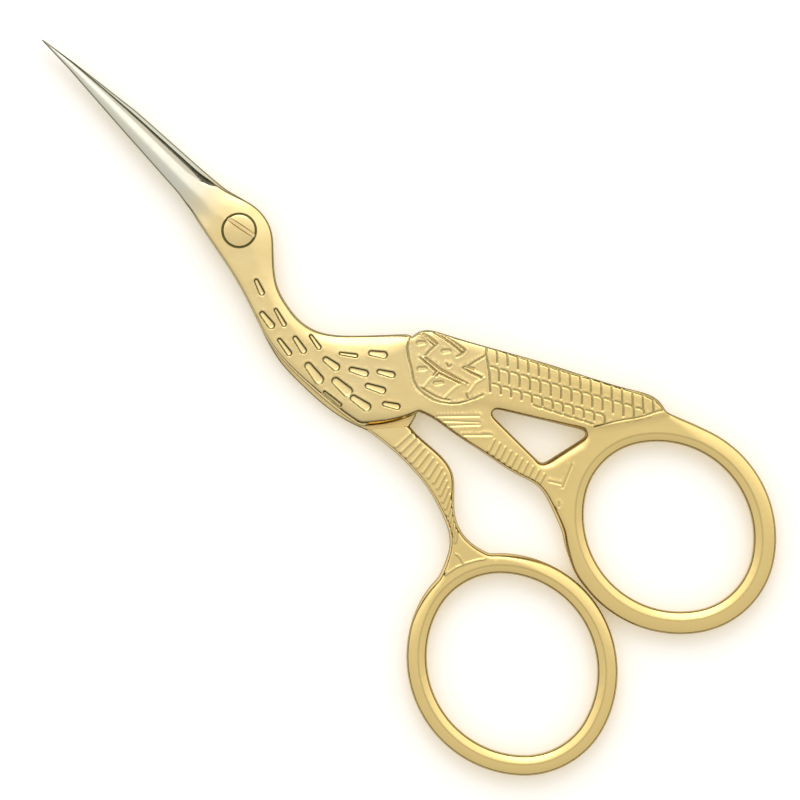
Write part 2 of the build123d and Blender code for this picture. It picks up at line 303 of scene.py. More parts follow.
# Rows of feathers down the wing, by pixels of the photograph: the first and last feather's corner,
# how many there are, where each one's top line starts, how its corner bows out, and how far its
# side runs
feather_rows = (
    ((496.6, 350.2), (652.4, 399.6), 16, (0.0, 0.6), (0.1, 5.0), (0.2, 12.6)),
    ((498.1, 370.0), (632.6, 407.4), 14, (-8.0, -3.4), (0.7, -1.6), (0.3, 11.4)),
    ((500.0, 387.0), (603.5, 416.2), 11, (-7.6, -3.2), (0.7, -1.5), (0.4, 7.2)),
    ((541.1, 407.6), (592.0, 423.6), 6, (-8.0, -2.6), (-3.6, -0.7), (0.0, 0.4)),
)
last_feather = ((635.6, 407.6), (639.5, 408.4), (642.8, 410.0), (643.4, 413.6))
feather_edge = (
    (486.0, 346.2), (496.6, 349.6), (507.3, 353.2), (528.4, 360.2), (549.1, 366.8), (569.5, 373.2),
    (590.4, 378.6), (611.1, 385.2), (632.2, 391.4), (644.0, 395.2), (652.6, 399.4), (659.3, 404.6),
    (663.0, 409.4),
)
feather_end = (
    (594.2, 426.9), (604.4, 424.3), (614.0, 421.8), (623.6, 419.8), (633.8, 418.3), (644.0, 416.0),
    (652.9, 412.5), (662.5, 409.8),
)

# Where the body begins to rise from the legs, and the bar of a bow with its way to the web
neck_start = -37.0
neck_blend = 5.0
bow_bar = 2.0
web_blend = 3.0

# Room that carving leaves along the outlines
carve_start = 0.06
carve_blend = 0.16

# Flat share of a cell's, a drop's and a raised strip's width, the share past which one counts as
# floored, and how the ends of cells and drops taper
cell_flat = 0.45
drop_flat = 0.55
strip_flat = 0.3
floored_from = 0.2
cell_taper = (1.1, 0.85)
drop_taper = (1.0, 0.8)

# A drop's depth against a cell's, a strip's width and the shoulder's lips against a groove's, and
# the depth and lips of the leg's lines against a groove's
drop_sink = 0.38
strip_reach = 1.4
shoulder_lip = 1.8
leg_sink = 0.5
leg_lip = 2

# Shade of carving: a wall's width in lip widths, the gain of walls and of grooves, and how much
# paler ridges are
wall_width = 1.35
wall_gain = 1.6
groove_gain = 1.9
ridge_pallor = 0.6

# The painted shade along the outlines, standing in for the dark reflection of the rounded corners:
# where it begins to fade, as a share of its width, how much paler it is on a bow, and the tone and
# half width of the painted dark reflection along a bow's ridge
rim_start = 0.35
bow_pallor = 0.25
bow_ridge_shade = 0.32
ridge_width = 0.2

# Rows of points beside every outline, and how deep inside it the other points stay
row_insets = (0.02, 0.06, 0.12, 0.20, 0.30, 0.42, 0.56, 0.72, 0.90, 1.10, 1.32, 1.55)
track_depth = 0.09
fine_depth = 0.26
wide_depth = 0.5

# Least worked width for a row, and least depth of its points, as shares of the row's inset
row_width_share = 0.8
row_depth_share = 0.94

# How far past carving close points go on, how far rows and wide points stay off it, and the inset
# up to which rows run on through it
fine_margin = 0.22
row_margin = 0.10
wide_margin = 0.30
rim_rows = 0.25

# Noise on the metal: scales for places in metres, how far patches shift the gilding's end, and
# heights, both in metres
cloud_scale = 260.0
patch_scale = 900.0
pit_scale = 1500.0
scratch_scale = 9000.0
grain_stretch = (1.0, 0.08, 1.0)
patch_shift = 0.0012
cloud_height = 0.00006
pit_height = 0.000008
scratch_height = 0.000012

# Roughness that pits, bare steel and the inner faces add to the polish
pit_rough = 0.08
bare_rough = 0.04
mate_rough = 0.26

# The stage: the floor's half side and level, how far the lamp stands off in plan and in height,
# and its size, in metres, then the strength of lamp and sky
floor_reach = 3.0
floor_level = -0.00001
lamp_reach = 0.52
lamp_size = 0.52
lamp_power = 0.85
sky_power = 2.6

# The sky's height where it begins to brighten and where it is full, and its share at the horizon
horizon_start = 0.22
horizon_full = 0.55
horizon_share = 0.04

# The sky from its dark side to the lamp's: places on the ramp and their brightness
sky_stops = (
    (0.0, 0.26), (0.20, 0.30), (0.40, 0.32), (0.50, 0.335), (0.56, 0.41), (0.68, 0.54),
    (0.86, 0.58), (1.0, 0.5),
)


def size(name):
    """One of the sizes in the sidebar, in millimetres."""
    return getattr(bpy.context.scene.scissors_sizes, name) / MM


def seen(place, origin=(239.5, 230.9)):
    """A place in the frame, in millimetres, of a pixel of the photograph."""
    scale = size("pixel") / math.sqrt(2)
    right, down = place[0] - origin[0], place[1] - origin[1]
    return (-(right + down) * scale, (down - right) * scale)


def smooth(share):
    """Eases a share from 0 to 1."""
    share = np.clip(share, 0, 1)
    return share * share * (3 - 2 * share)


def section_loops(node, height):
    """The closed outlines of a solid at a height, the longest first, its material on their left."""
    cut = bmesh.new()
    cut.from_mesh(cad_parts[node].data)
    bmesh.ops.remove_doubles(cut, verts=cut.verts, dist=0.0001 * MM)
    found = bmesh.ops.bisect_plane(
        cut, geom=cut.verts[:] + cut.edges[:] + cut.faces[:],
        plane_co=(0, 0, height * MM), plane_no=(0, 0, 1), clear_inner=True, clear_outer=True)
    joined = {}
    for edge in (e for e in found["geom_cut"] if isinstance(e, bmesh.types.BMEdge)):
        first, second = edge.verts
        joined.setdefault(first, []).append(second)
        joined.setdefault(second, []).append(first)
    loops = []
    while joined:
        start = next(iter(joined))
        loop = [start]
        here = joined.pop(start)[0]
        last = start
        while here is not start:
            loop.append(here)
            onward = [v for v in joined.pop(here) if v is not last]
            last = here
            here = onward[0] if onward else start
        loops.append(np.array([(v.co.x / MM, v.co.y / MM) for v in loop]))
    cut.free()
    loops.sort(key=lambda loop: -np.ptp(loop[:, 0]))
    return [turned(loop, k == 0) for k, loop in enumerate(loops)]


def turned(loop, outer):
    """An outline that runs anticlockwise outside, clockwise round a hole."""
    x, y = loop.T
    area = (x * np.roll(y, -1) - np.roll(x, -1) * y).sum() / 2
    return loop if (area > 0) == outer else loop[::-1]


def along(line):
    """How far each point of a line lies along it."""
    return np.concatenate([[0], np.cumsum(np.linalg.norm(np.diff(line, axis=0), axis=1))])


def respaced(line, spacing):
    """A line with even points, its ends kept."""
    reach = along(line)
    count = max(2, int(round(reach[-1] / spacing)) + 1)
    where = np.linspace(0, reach[-1], count)
    return np.stack([np.interp(where, reach, line[:, k]) for k in (0, 1)], axis=1)


def even_loop(loop, spacing):
    """An outline with even points, smooth between its corners."""
    closed = respaced(np.vstack([loop, loop[:1]]), size("trace_spacing"))[:-1]
    step = max(1, int(round(size("corner_reach") / size("trace_spacing"))))
    ahead = np.roll(closed, -step, axis=0) - closed
    behind = closed - np.roll(closed, step, axis=0)
    turn = np.arctan2(ahead[:, 1], ahead[:, 0]) - np.arctan2(behind[:, 1], behind[:, 0])
    turn = np.abs((turn + math.pi) % (2 * math.pi) - math.pi)
    limit = math.radians(bpy.context.scene.scissors_sizes.corner_turn)
    window = np.max([np.roll(turn, k) for k in range(-step, step + 1)], axis=0)
    corners = np.nonzero((turn >= window) & (turn > limit))[0]
    if not len(corners):
        return softened(np.vstack([closed, closed[:1]]), spacing, True)[:-1]
    pieces = []
    for first, last in zip(corners, np.roll(corners, -1)):
        count = (last - first) % len(closed) or len(closed)
        stretch = closed[(first + np.arange(count + 1)) % len(closed)]
        pieces.append(softened(stretch, spacing, False)[:-1])
    return np.vstack(pieces)


def softened(line, spacing, closed):
    """Takes the facets out of a line, then spaces its points."""
    for _ in range(bpy.context.scene.scissors_sizes.trace_passes):
        before, after = np.roll(line, 1, axis=0), np.roll(line, -1, axis=0)
        if closed:
            before[0], after[-1] = line[-2], line[1]
            line = (before + 2 * line + after) / 4
        else:
            line[1:-1] = ((before + 2 * line + after) / 4)[1:-1]
    return respaced(line, spacing)


def inward(loop):
    """Unit vectors at an outline's points, towards the material on its left."""
    run = np.roll(loop, -1, axis=0) - np.roll(loop, 1, axis=0)
    run /= np.maximum(np.linalg.norm(run, axis=1), 1e-9)[:, None]
    return np.stack([-run[:, 1], run[:, 0]], axis=1)


def nearest_on(loop, points):
    """Distance from points to an outline, less than zero outside, and the place on it."""
    ahead = np.roll(loop, -1, axis=0) - loop
    side = inward(loop)
    distance = np.empty(len(points))
    place = np.empty(len(points))
    for start in range(0, len(points), 1500):
        part = points[start:start + 1500]
        gap = ((part[:, None, 0] - loop[None, :, 0]) ** 2
               + (part[:, None, 1] - loop[None, :, 1]) ** 2)
        closest = gap.argmin(axis=1)
        best = np.full(len(part), np.inf)
        where = np.zeros(len(part))
        signed = np.zeros(len(part))
        for shift in (-1, 0):
            j = (closest + shift) % len(loop)
            run = ahead[j]
            t = ((part - loop[j]) * run).sum(axis=1) / np.maximum((run ** 2).sum(axis=1), 1e-12)
            t = np.clip(t, 0, 1)
            offset = part - loop[j] - run * t[:, None]
            reach = np.linalg.norm(offset, axis=1)
            normal = side[j] * (1 - t)[:, None] + side[(j + 1) % len(loop)] * t[:, None]
            nearer = reach < best
            best = np.where(nearer, reach, best)
            where = np.where(nearer, j + t, where)
            signed = np.where(nearer, np.sign((offset * normal).sum(axis=1)), signed)
        distance[start:start + 1500] = best * signed
        place[start:start + 1500] = where
    return distance, place


def keyed(loop, keys):
    """The edge table's width, rim and crest at every point of an outline."""
    table = np.array(keys)
    spots = [int(((loop - key[:2]) ** 2).sum(axis=1).argmin()) for key in table]
    order = np.argsort(spots)
    spots = np.array(spots)[order]
    values = table[order, 2:]
    count = len(loop)
    spots = np.concatenate([[spots[-1] - count], spots, [spots[0] + count]])
    values = np.vstack([values[-1], values, values[0]])
    return np.stack([np.interp(np.arange(count), spots, values[:, k]) for k in range(3)], axis=1)


def edge_share(outlines, points):
    """How much of its full height a face has at points near its worked edges, and their depth in."""
    share = np.ones(len(points))
    depth = np.full(len(points), np.inf)
    for loop, worked in outlines:
        distance, place = nearest_on(loop, points)
        low = np.floor(place).astype(int) % len(loop)
        part = (place - np.floor(place))[:, None]
        width, rim, crest = (worked[low] * (1 - part) + worked[(low + 1) % len(loop)] * part).T
        inset = np.clip(distance / width, 0, 1)
        dome = 1 - (1 - inset) ** 3
        rise = rim + (1 - rim) * ((1 - crest) * dome + crest * inset)
        share = np.minimum(share, rise)
        depth = np.minimum(depth, distance)
    return share, depth


def edge_drop(depth):
    """How far the polished corner at an outline lies below the face, at depths in from it."""
    radius = size("edge_round")
    inset = np.clip(1 - depth / radius, 0, 1)
    return radius * (1 - np.sqrt(1 - inset ** 2))


def painted_rim_shade(depth, bow):
    """How dark the painted shade along the outlines is, standing in for the dark reflection of the
    polished corners, fading out just inside them.
    """
    return (1 - smooth(depth / size("rim_shade_width") - rim_start)) * (1 - bow_pallor * bow)


def painted_bow_ridge_line(hole, points):
    """The faint line of painted dark reflection along the ridge beside a finger bow's hole."""
    distance, _ = nearest_on(hole, points)
    return bow_ridge_shade * (1 - smooth(np.abs(distance - front_bow_edge[0][2]) / ridge_width))


def inside_plan(plan, points, blend):
    """1 inside a plan, easing to 0 over a distance outside it."""
    loop = turned(respaced(np.array(plan + plan[:1]), 0.5)[:-1], True)
    distance, _ = nearest_on(loop, points)
    return smooth(1 + distance / blend)


def bow_share(hole, points):
    """1 on the bar of a finger bow, easing to 0 where the leg's web begins."""
    distance, _ = nearest_on(hole, points)
    return 1 - smooth((np.abs(distance) - bow_bar) / web_blend)


def beyond_step(points, line):
    """Which points lie on the bow's side of a step line."""
    step = np.array(sorted(line, key=lambda place: place[1]))
    return points[:, 0] < np.interp(points[:, 1], step[:, 1], step[:, 0])


def blade_rise(points):
    """Height of the faceted blade over the joint plane."""
    x, y = points.T
    table = np.array(blade_facets)
    ridge, crest, lower, ground = (np.interp(x, table[:, 0], table[:, k]) for k in (1, 2, 3, 4))
    soft = ridge_soft * np.clip((table[-1, 0] - x) / 12, 0.25, 1)
    over = y - ridge
    bend = np.where(over > soft, over, np.clip(over + soft, 0, None) ** 2 / (4 * soft))
    height = crest + middle_slope * over - (spine_slope + middle_slope) * bend
    shelf = crest - middle_slope * (ridge - lower)
    height = np.where(y < lower, shelf - bevel_slope * (lower - y), height)
    brink = shelf - bevel_slope * (lower - ground)
    height = np.where(y < ground, brink - ground_slope * (ground - y), height)
    return np.maximum(height, edge_rise)


def flipped(points):
    """Places on the rear blade, turned over to where they would lie on the front blade."""
    x, y = points.T
    return np.stack([x, 2 * beak_drift * x / beak_length - y], axis=1)


def with_blade(points, body):
    """Body heights that run into the faceted blade past the beak's root."""
    share = smooth((points[:, 0] - root_start) / (root_end - root_start))
    return body * (1 - share) + blade_rise(points) * share


def blade_edge_shade(points):
    """How dark the blade's edge is painted: painted shade of the gap between the blades along the
    ground edge, and a lighter darkening of the lower bevel.
    """
    x, y = points.T
    table = np.array(blade_facets)
    brink = np.interp(x, *np.array(gap_shade_brink).T)
    lower = np.interp(x, table[:, 0], table[:, 3])
    bevel = bevel_tone * smooth((lower - y) / 0.3 + 0.2) * smooth((x - root_start) / 4)
    ground = gap_shade * smooth((brink - y) / 0.16 + 0.5) * (x > gap_shade_brink[0][0])
    return np.maximum(bevel, ground)


def half_shape(outlines, points):
    """What both halves share: the edge's rise and drop, web, neck, painted rim shade and carving's
    room.
    """
    share, depth = edge_share(outlines, points)
    hole = outlines[1][0]
    bow = bow_share(hole, points)
    web = leg_rise * (1 - bow) + bow_rise * bow
    neck = smooth((points[:, 0] - neck_start) / neck_blend)
    # rim here is the painted shade along the outlines and along the bow's ridge
    rim = np.maximum(painted_rim_shade(depth, bow), painted_bow_ridge_line(hole, points))
    room = smooth((depth - carve_start) / carve_blend)
    return share, edge_drop(depth), web, neck, rim, room


def front_heights(outlines, points):
    """Top and underside of the front half, counted from the joint plane."""
    share, drop, web, neck, rim, room = half_shape(outlines, points)
    wing = inside_plan(wing_plan, points, size("wing_blend"))
    top = web + (body_rise - web) * neck
    top = top + (wing_rise - top) * wing
    top = with_blade(points, top * share - drop)
    radius = np.hypot(*points.T)
    top = np.where(radius < seat_radius - 0.01, seat_rise, top)
    full = beyond_step(points, (crotch, notch))
    under = (web + (wing_rise - web) * wing) * share - drop
    under = np.where(full, under, -lap_gap)
    room_top = room * (radius > seat_radius + 0.1)
    # Painted shade: a dark ring on the seat's floor round the screw head, and elsewhere the painted
    # rim shade and the blade edge's painted shade
    tone = np.where(radius < seat_radius + 0.01, 1.0, np.maximum(rim, blade_edge_shade(points)))
    return top, under, room_top, room_top * full, tone, rim


def rear_heights(outlines, points):
    """Top and underside of the rear half, counted from the joint plane."""
    share, drop, web, neck, rim, room = half_shape(outlines, points)
    full = beyond_step(points, (rear_breast, rear_crotch, step_corner, rear_notch))
    top = np.where(full, web * share - drop, -lap_gap)
    turned_over = flipped(points)
    under = with_blade(turned_over, (web + (body_rise - web) * neck) * share - drop)
    return top, under, room * full, room, rim, np.maximum(rim, blade_edge_shade(turned_over))


def hexagonal(low, high, spacing):
    """A field of points, each the same distance from its six neighbours."""
    rise = spacing * math.sqrt(3) / 2
    rows = np.arange(low[1], high[1], rise)
    columns = np.arange(low[0], high[0], spacing)
    grid = [np.stack([columns + spacing / 2 * (k % 2), np.full(len(columns), y)], axis=1)
            for k, y in enumerate(rows)]
    return np.vstack(grid)


def near_lines(pattern, points, extra):
    """Which points lie within a carved line's reach of it."""
    cell = 0.5
    spots, reach = pattern["points"], pattern["reach"] + extra
    table = {}
    for k, (x, y) in enumerate(np.floor(spots / cell).astype(int)):
        table.setdefault((x, y), []).append(k)
    keep = np.zeros(len(points), bool)
    cells = {}
    for k, (x, y) in enumerate(np.floor(points / cell).astype(int)):
        cells.setdefault((x, y), []).append(k)
    span = range(-3, 4)
    for (x, y), members in cells.items():
        close = [k for a in span for b in span for k in table.get((x + a, y + b), ())]
        if close:
            gap = np.linalg.norm(points[members][:, None] - spots[close][None], axis=2)
            keep[np.array(members)] = (gap < reach[close][None]).any(axis=1)
    return keep


def plan_points(outlines, pattern):
    """Places for the mesh's points: rows along the edges, close ones at carving, wide ones between."""
    rows = []
    for loop, worked in outlines:
        normal = inward(loop)
        for inset in row_insets:
            used = worked[:, 0] > inset * row_width_share
            moved = (loop + normal * inset)[used]
            rows.append(np.column_stack([moved, np.full(len(moved), inset)]))
    rows = np.vstack(rows)
    low = outlines[0][0].min(axis=0)
    high = outlines[0][0].max(axis=0)
    fine = hexagonal(low, high, size("fine_spacing"))
    fine = fine[near_lines(pattern, fine, fine_margin)]
    wide = hexagonal(low, high, size("wide_spacing"))
    tracks = pattern["tracks"]
    depth_rows, depth_fine, depth_wide, depth_tracks = (
        edge_depth(outlines, field[:, :2]) for field in (rows, fine, wide, tracks))
    tracks = tracks[depth_tracks > track_depth]
    rows_kept = rows[depth_rows > rows[:, 2] * row_depth_share]
    close = near_lines(pattern, rows_kept[:, :2], row_margin) & (rows_kept[:, 2] > rim_rows)
    rows_kept = rows_kept[~close][:, :2]
    fine = fine[depth_fine > fine_depth]
    wide = wide[depth_wide > wide_depth]
    wide = wide[~near_lines(pattern, wide, wide_margin)]
    return thinned(np.vstack([tracks, rows_kept, fine, wide]))


def edge_depth(outlines, points):
    """How deep points lie inside all outlines."""
    return np.min([nearest_on(loop, points)[0] for loop, _ in outlines], axis=0)


def thinned(points):
    """Leaves out points that lie almost on another."""
    _, first = np.unique(np.round(points / 0.05).astype(int), axis=0, return_index=True)
    return points[np.sort(first)]


def triangles(loops, lines, points):
    """Triangles of the area inside outlines, with edges along the given lines."""
    coords = [point for loop in loops for point in loop]
    edges = []
    base = 0
    for loop in loops:
        count = len(loop)
        edges += [(base + k, base + (k + 1) % count) for k in range(count)]
        base += count
    rim = base
    for line in lines:
        edges += [(base + k, base + k + 1) for k in range(len(line) - 1)]
        coords += list(line)
        base += len(line)
    fixed = base
    coords += list(points)
    verts, _, faces, origins, _, _ = delaunay_2d_cdt(
        [Vector(p) for p in coords], edges, [], 0, 1e-6, True)
    plan = np.array([tuple(v) for v in verts])
    source = np.array([min(ids) if ids else -1 for ids in origins])
    faces = np.array(faces)
    on_rim = ((source[faces] >= 0) & (source[faces] < fixed)).all(axis=1)
    middles = plan[faces[on_rim]].mean(axis=1)
    keep = np.ones(len(faces), bool)
    keep[np.nonzero(on_rim)[0]] = within(loops, middles)
    place = {int(s): k for k, s in enumerate(source) if s >= 0}
    for k, ids in enumerate(origins):
        for s in ids:
            place[s] = k
    rims = [[place[s] for s in range(start, start + len(loop))]
            for start, loop in zip(np.cumsum([0] + [len(loop) for loop in loops[:-1]]), loops)]
    line_edges = [(place[a], place[b]) for a, b in edges[rim:]]
    return plan, faces[keep], rims, line_edges


def within(loops, points):
    """Which points lie inside the first outline and outside the others."""
    x, y = points.T
    crossings = np.zeros(len(points), int)
    for loop in loops:
        for (ax, ay), (bx, by) in zip(loop, np.roll(loop, -1, axis=0)):
            if ay == by:
                continue
            across = (ay > y) != (by > y)
            crossings += across & (x < (bx - ax) * (y - ay) / (by - ay) + ax)
    return crossings % 2 == 1


def plan_body(name, outlines, pattern, heights, top_lines, under_lines):
    """A closed body with worked edges: a top and an underside over one plan, joined at the rim."""
    loops = [loop for loop, _ in outlines]
    points = plan_points(outlines, pattern)
    parts = []
    tones, mates = [], []
    for is_top, given in ((True, top_lines), (False, under_lines)):
        lines = [line[edge_depth(outlines, line) > 0.015] for line in given]
        plan, faces, rims, line_edges = triangles(loops, lines, points)
        top, under, carve_top, carve_under, tone_top, tone_under = heights(outlines, plan)
        level = joint_plane + top if is_top else joint_plane - under
        carved = carve_top if is_top else -carve_under
        tones.append(tone_top if is_top else tone_under)
        mates.append(np.abs(level - joint_plane) < 1.5 * lap_gap)
        flat = plan[faces]
        first, second = flat[:, 1] - flat[:, 0], flat[:, 2] - flat[:, 0]
        upward = first[:, 0] * second[:, 1] - first[:, 1] * second[:, 0] > 0
        faces = np.where((upward == is_top)[:, None], faces, faces[:, ::-1])
        parts.append((np.column_stack([plan, level]), faces, rims, line_edges, carved))
    shift = len(parts[0][0])
    coords = np.vstack([parts[0][0], parts[1][0]]) * MM
    faces = [tuple(f) for f in parts[0][1]] + [tuple(f) for f in parts[1][1] + shift]
    creases = list(parts[0][3]) + [(a + shift, b + shift) for a, b in parts[1][3]]
    for top_rim, under_rim in zip(parts[0][2], parts[1][2]):
        count, base = len(top_rim), len(coords)
        under_rim = [v + shift for v in under_rim]
        high, low = coords[top_rim], coords[under_rim]
        inset = np.zeros_like(high)
        inset[:, 2] = np.minimum(size("rim_shade_width") * MM, (high - low)[:, 2] / 3)
        coords = np.vstack([coords, high - inset, low + inset])
        rings = (top_rim, range(base, base + count), range(base + count, base + 2 * count),
                 under_rim)
        onward = [(k, (k + 1) % count) for k in range(count)]
        for upper, lower in zip(rings, rings[1:]):
            faces += [(lower[k], lower[n], upper[n], upper[k]) for k, n in onward]
        creases += [(ring[k], ring[n]) for ring in (top_rim, under_rim) for k, n in onward]
        # Painted shade on the upright walls between the rings
        tones.append(np.full(2 * count, bpy.context.scene.scissors_finish.wall_shade))
        mates.append(np.zeros(2 * count))
    mesh = bpy.data.meshes.new(name)
    mesh.from_pydata(coords.tolist(), [], faces)
    sides = [parts[0][4], parts[1][4], np.zeros(len(coords) - shift - len(parts[1][0]))]
    # The rim attribute carries the painted shade along the outlines, on the walls, at the blade edge
    # and on the seat
    for label, values in (("face_side", sides), ("rim", tones), ("mate", mates)):
        layer = mesh.attributes.new(label, "FLOAT", "POINT")
        layer.data.foreach_set("value", np.concatenate(values).astype(np.float32))
    shade(mesh, creases)
    body = bpy.data.objects.new(name, mesh)
    bpy.context.scene.collection.objects.link(body)
    return body


def shade(mesh, creases):
    """Smooth shading, with sharp edges along the creases that really turn."""
    work = bmesh.new()
    work.from_mesh(mesh)
    work.verts.ensure_lookup_table()
    limit = math.radians(bpy.context.scene.scissors_sizes.crease_turn)
    for face in work.faces:
        face.smooth = True
    for a, b in creases:
        edge = work.edges.get((work.verts[a], work.verts[b])) if a != b else None
        if edge and len(edge.link_faces) == 2 and edge.calc_face_angle(0) > limit:
            edge.smooth = False
    work.to_mesh(mesh)
    work.free()


def add_node(tree, kind, wires=None, **settings):
    """Adds a node, sets its fields, and wires or sets its inputs."""
    made = tree.nodes.new(kind)
    for field, value in settings.items():
        setattr(made, field, value)
    for name, value in (wires or {}).items():
        socket = made.inputs[name]
        if isinstance(value, bpy.types.NodeSocket):
            tree.links.new(value, socket)
        else:
            socket.default_value = value
    return made


def calc(tree, operation, *values, clamp=False):
    """The output of a math node."""
    made = add_node(tree, "ShaderNodeMath", dict(enumerate(values)), operation=operation)
    made.use_clamp = clamp
    return made.outputs[0]


def ease(tree, value, low=0.0, high=1.0, bottom=0.0):
    """A value eased from the bottom to 1 between two limits."""
    return add_node(
        tree, "ShaderNodeMapRange",
        {"Value": value, "From Min": low, "From Max": high, "To Min": bottom},
        interpolation_type="SMOOTHSTEP").outputs[0]


def mix(tree, share, first, second):
    """The colour that lies a share of the way from one to another."""
    return add_node(tree, "ShaderNodeMix", {0: share, 6: first, 7: second},
                    data_type="RGBA").outputs[2]


def noise(tree, place, scale, detail):
    """The output of a noise texture."""
    return add_node(tree, "ShaderNodeTexNoise",
                    {"Vector": place, "Scale": scale, "Detail": detail}).outputs[0]


def shader_value(tree, name):
    """A value stored on the mesh, in a material."""
    return add_node(tree, "ShaderNodeAttribute", attribute_name=name,
                    attribute_type="GEOMETRY").outputs["Fac"]


def point_value(tree, name):
    """A value stored on the mesh, in a geometry tree."""
    return add_node(tree, "GeometryNodeInputNamedAttribute", {"Name": name},
                    data_type="FLOAT").outputs["Attribute"]


def new_tree(name, sockets):
    """An empty node tree with named inputs and a mesh output."""
    tree = bpy.data.node_groups.new(name, "GeometryNodeTree")
    tree.interface.new_socket("Geometry", in_out="INPUT", socket_type="NodeSocketGeometry")
    for label, kind in sockets:
        tree.interface.new_socket(label, in_out="INPUT", socket_type="NodeSocket" + kind)
    tree.interface.new_socket("Geometry", in_out="OUTPUT", socket_type="NodeSocketGeometry")
    entry = tree.nodes.new("NodeGroupInput").outputs
    return tree, entry


def end_tree(tree, geometry, material):
    """Ends a tree in real geometry with its material."""
    real = add_node(tree, "GeometryNodeRealizeInstances", {0: geometry})
    painted = add_node(
        tree, "GeometryNodeSetMaterial", {"Geometry": real.outputs[0], "Material": material})
    add_node(tree, "NodeGroupOutput", {0: painted.outputs[0]})


def run_tree(base, tree, values):
    """The plain mesh that a tree makes of an object."""
    modifier = base.modifiers.new(tree.name, "NODES")
    modifier.node_group = tree
    for item in tree.interface.items_tree:
        if item.item_type == "SOCKET" and item.in_out == "INPUT" and item.name in values:
            modifier[item.identifier] = values[item.name]
    bpy.context.view_layer.update()
    graph = bpy.context.evaluated_depsgraph_get()
    mesh = bpy.data.meshes.new_from_object(
        base.evaluated_get(graph), preserve_all_data_layers=True, depsgraph=graph)
    base.modifiers.remove(modifier)
    return mesh


line_facts = ("reach", "sink", "flat", "lip")


def stroke_tree():
    """Short strokes set out evenly along a path, as feather ends or ribs, turning on the way."""
    tree, entry = new_tree("strokes_along_path", (
        ("Count", "Int"), ("Start", "Vector"), ("Bend", "Vector"), ("End", "Vector"),
        ("First Turn", "Float"), ("Last Turn", "Float"), ("First Scale", "Float"),
        ("Last Scale", "Float"), ("Point Spacing", "Float"), ("reach", "Float"), ("sink", "Float"),
        ("flat", "Float"), ("lip", "Float"), ("Material", "Material")))
    path = add_node(tree, "GeometryNodeMeshToCurve", {"Mesh": entry["Geometry"]})
    places = add_node(
        tree, "GeometryNodeResampleCurve",
        {"Curve": path.outputs[0], "Count": entry["Count"]}, mode="COUNT")
    stroke = add_node(tree, "GeometryNodeCurvePrimitiveBezierSegment", {
        "Resolution": 20, "Start": entry["Start"], "Start Handle": entry["Bend"],
        "End Handle": entry["Bend"], "End": entry["End"]}, mode="POSITION")
    share = tree.nodes.new("GeometryNodeSplineParameter").outputs["Factor"]
    turn, scale = (
        calc(tree, "MULTIPLY_ADD", share,
             calc(tree, "SUBTRACT", entry["Last " + word], entry["First " + word]),
             entry["First " + word]) for word in ("Turn", "Scale"))
    angle = add_node(tree, "ShaderNodeCombineXYZ", {"Z": turn})
    spread = add_node(tree, "ShaderNodeCombineXYZ", {"X": scale, "Y": scale, "Z": scale})
    placed = add_node(tree, "GeometryNodeInstanceOnPoints", {
        "Points": places.outputs[0], "Instance": stroke.outputs[0],
        "Rotation": angle.outputs[0], "Scale": spread.outputs[0]})
    real = add_node(tree, "GeometryNodeRealizeInstances", {0: placed.outputs[0]})
    dense = add_node(
        tree, "GeometryNodeResampleCurve",
        {"Curve": real.outputs[0], "Length": entry["Point Spacing"]}, mode="LENGTH")
    drawn = add_node(tree, "GeometryNodeCurveToMesh", {"Curve": dense.outputs[0]}).outputs[0]
    for fact in line_facts:
        drawn = add_node(
            tree, "GeometryNodeStoreNamedAttribute",
            {"Geometry": drawn, "Name": fact, "Value": entry[fact]},
            data_type="FLOAT", domain="POINT").outputs[0]
    end_tree(tree, drawn, entry["Material"])
    return tree


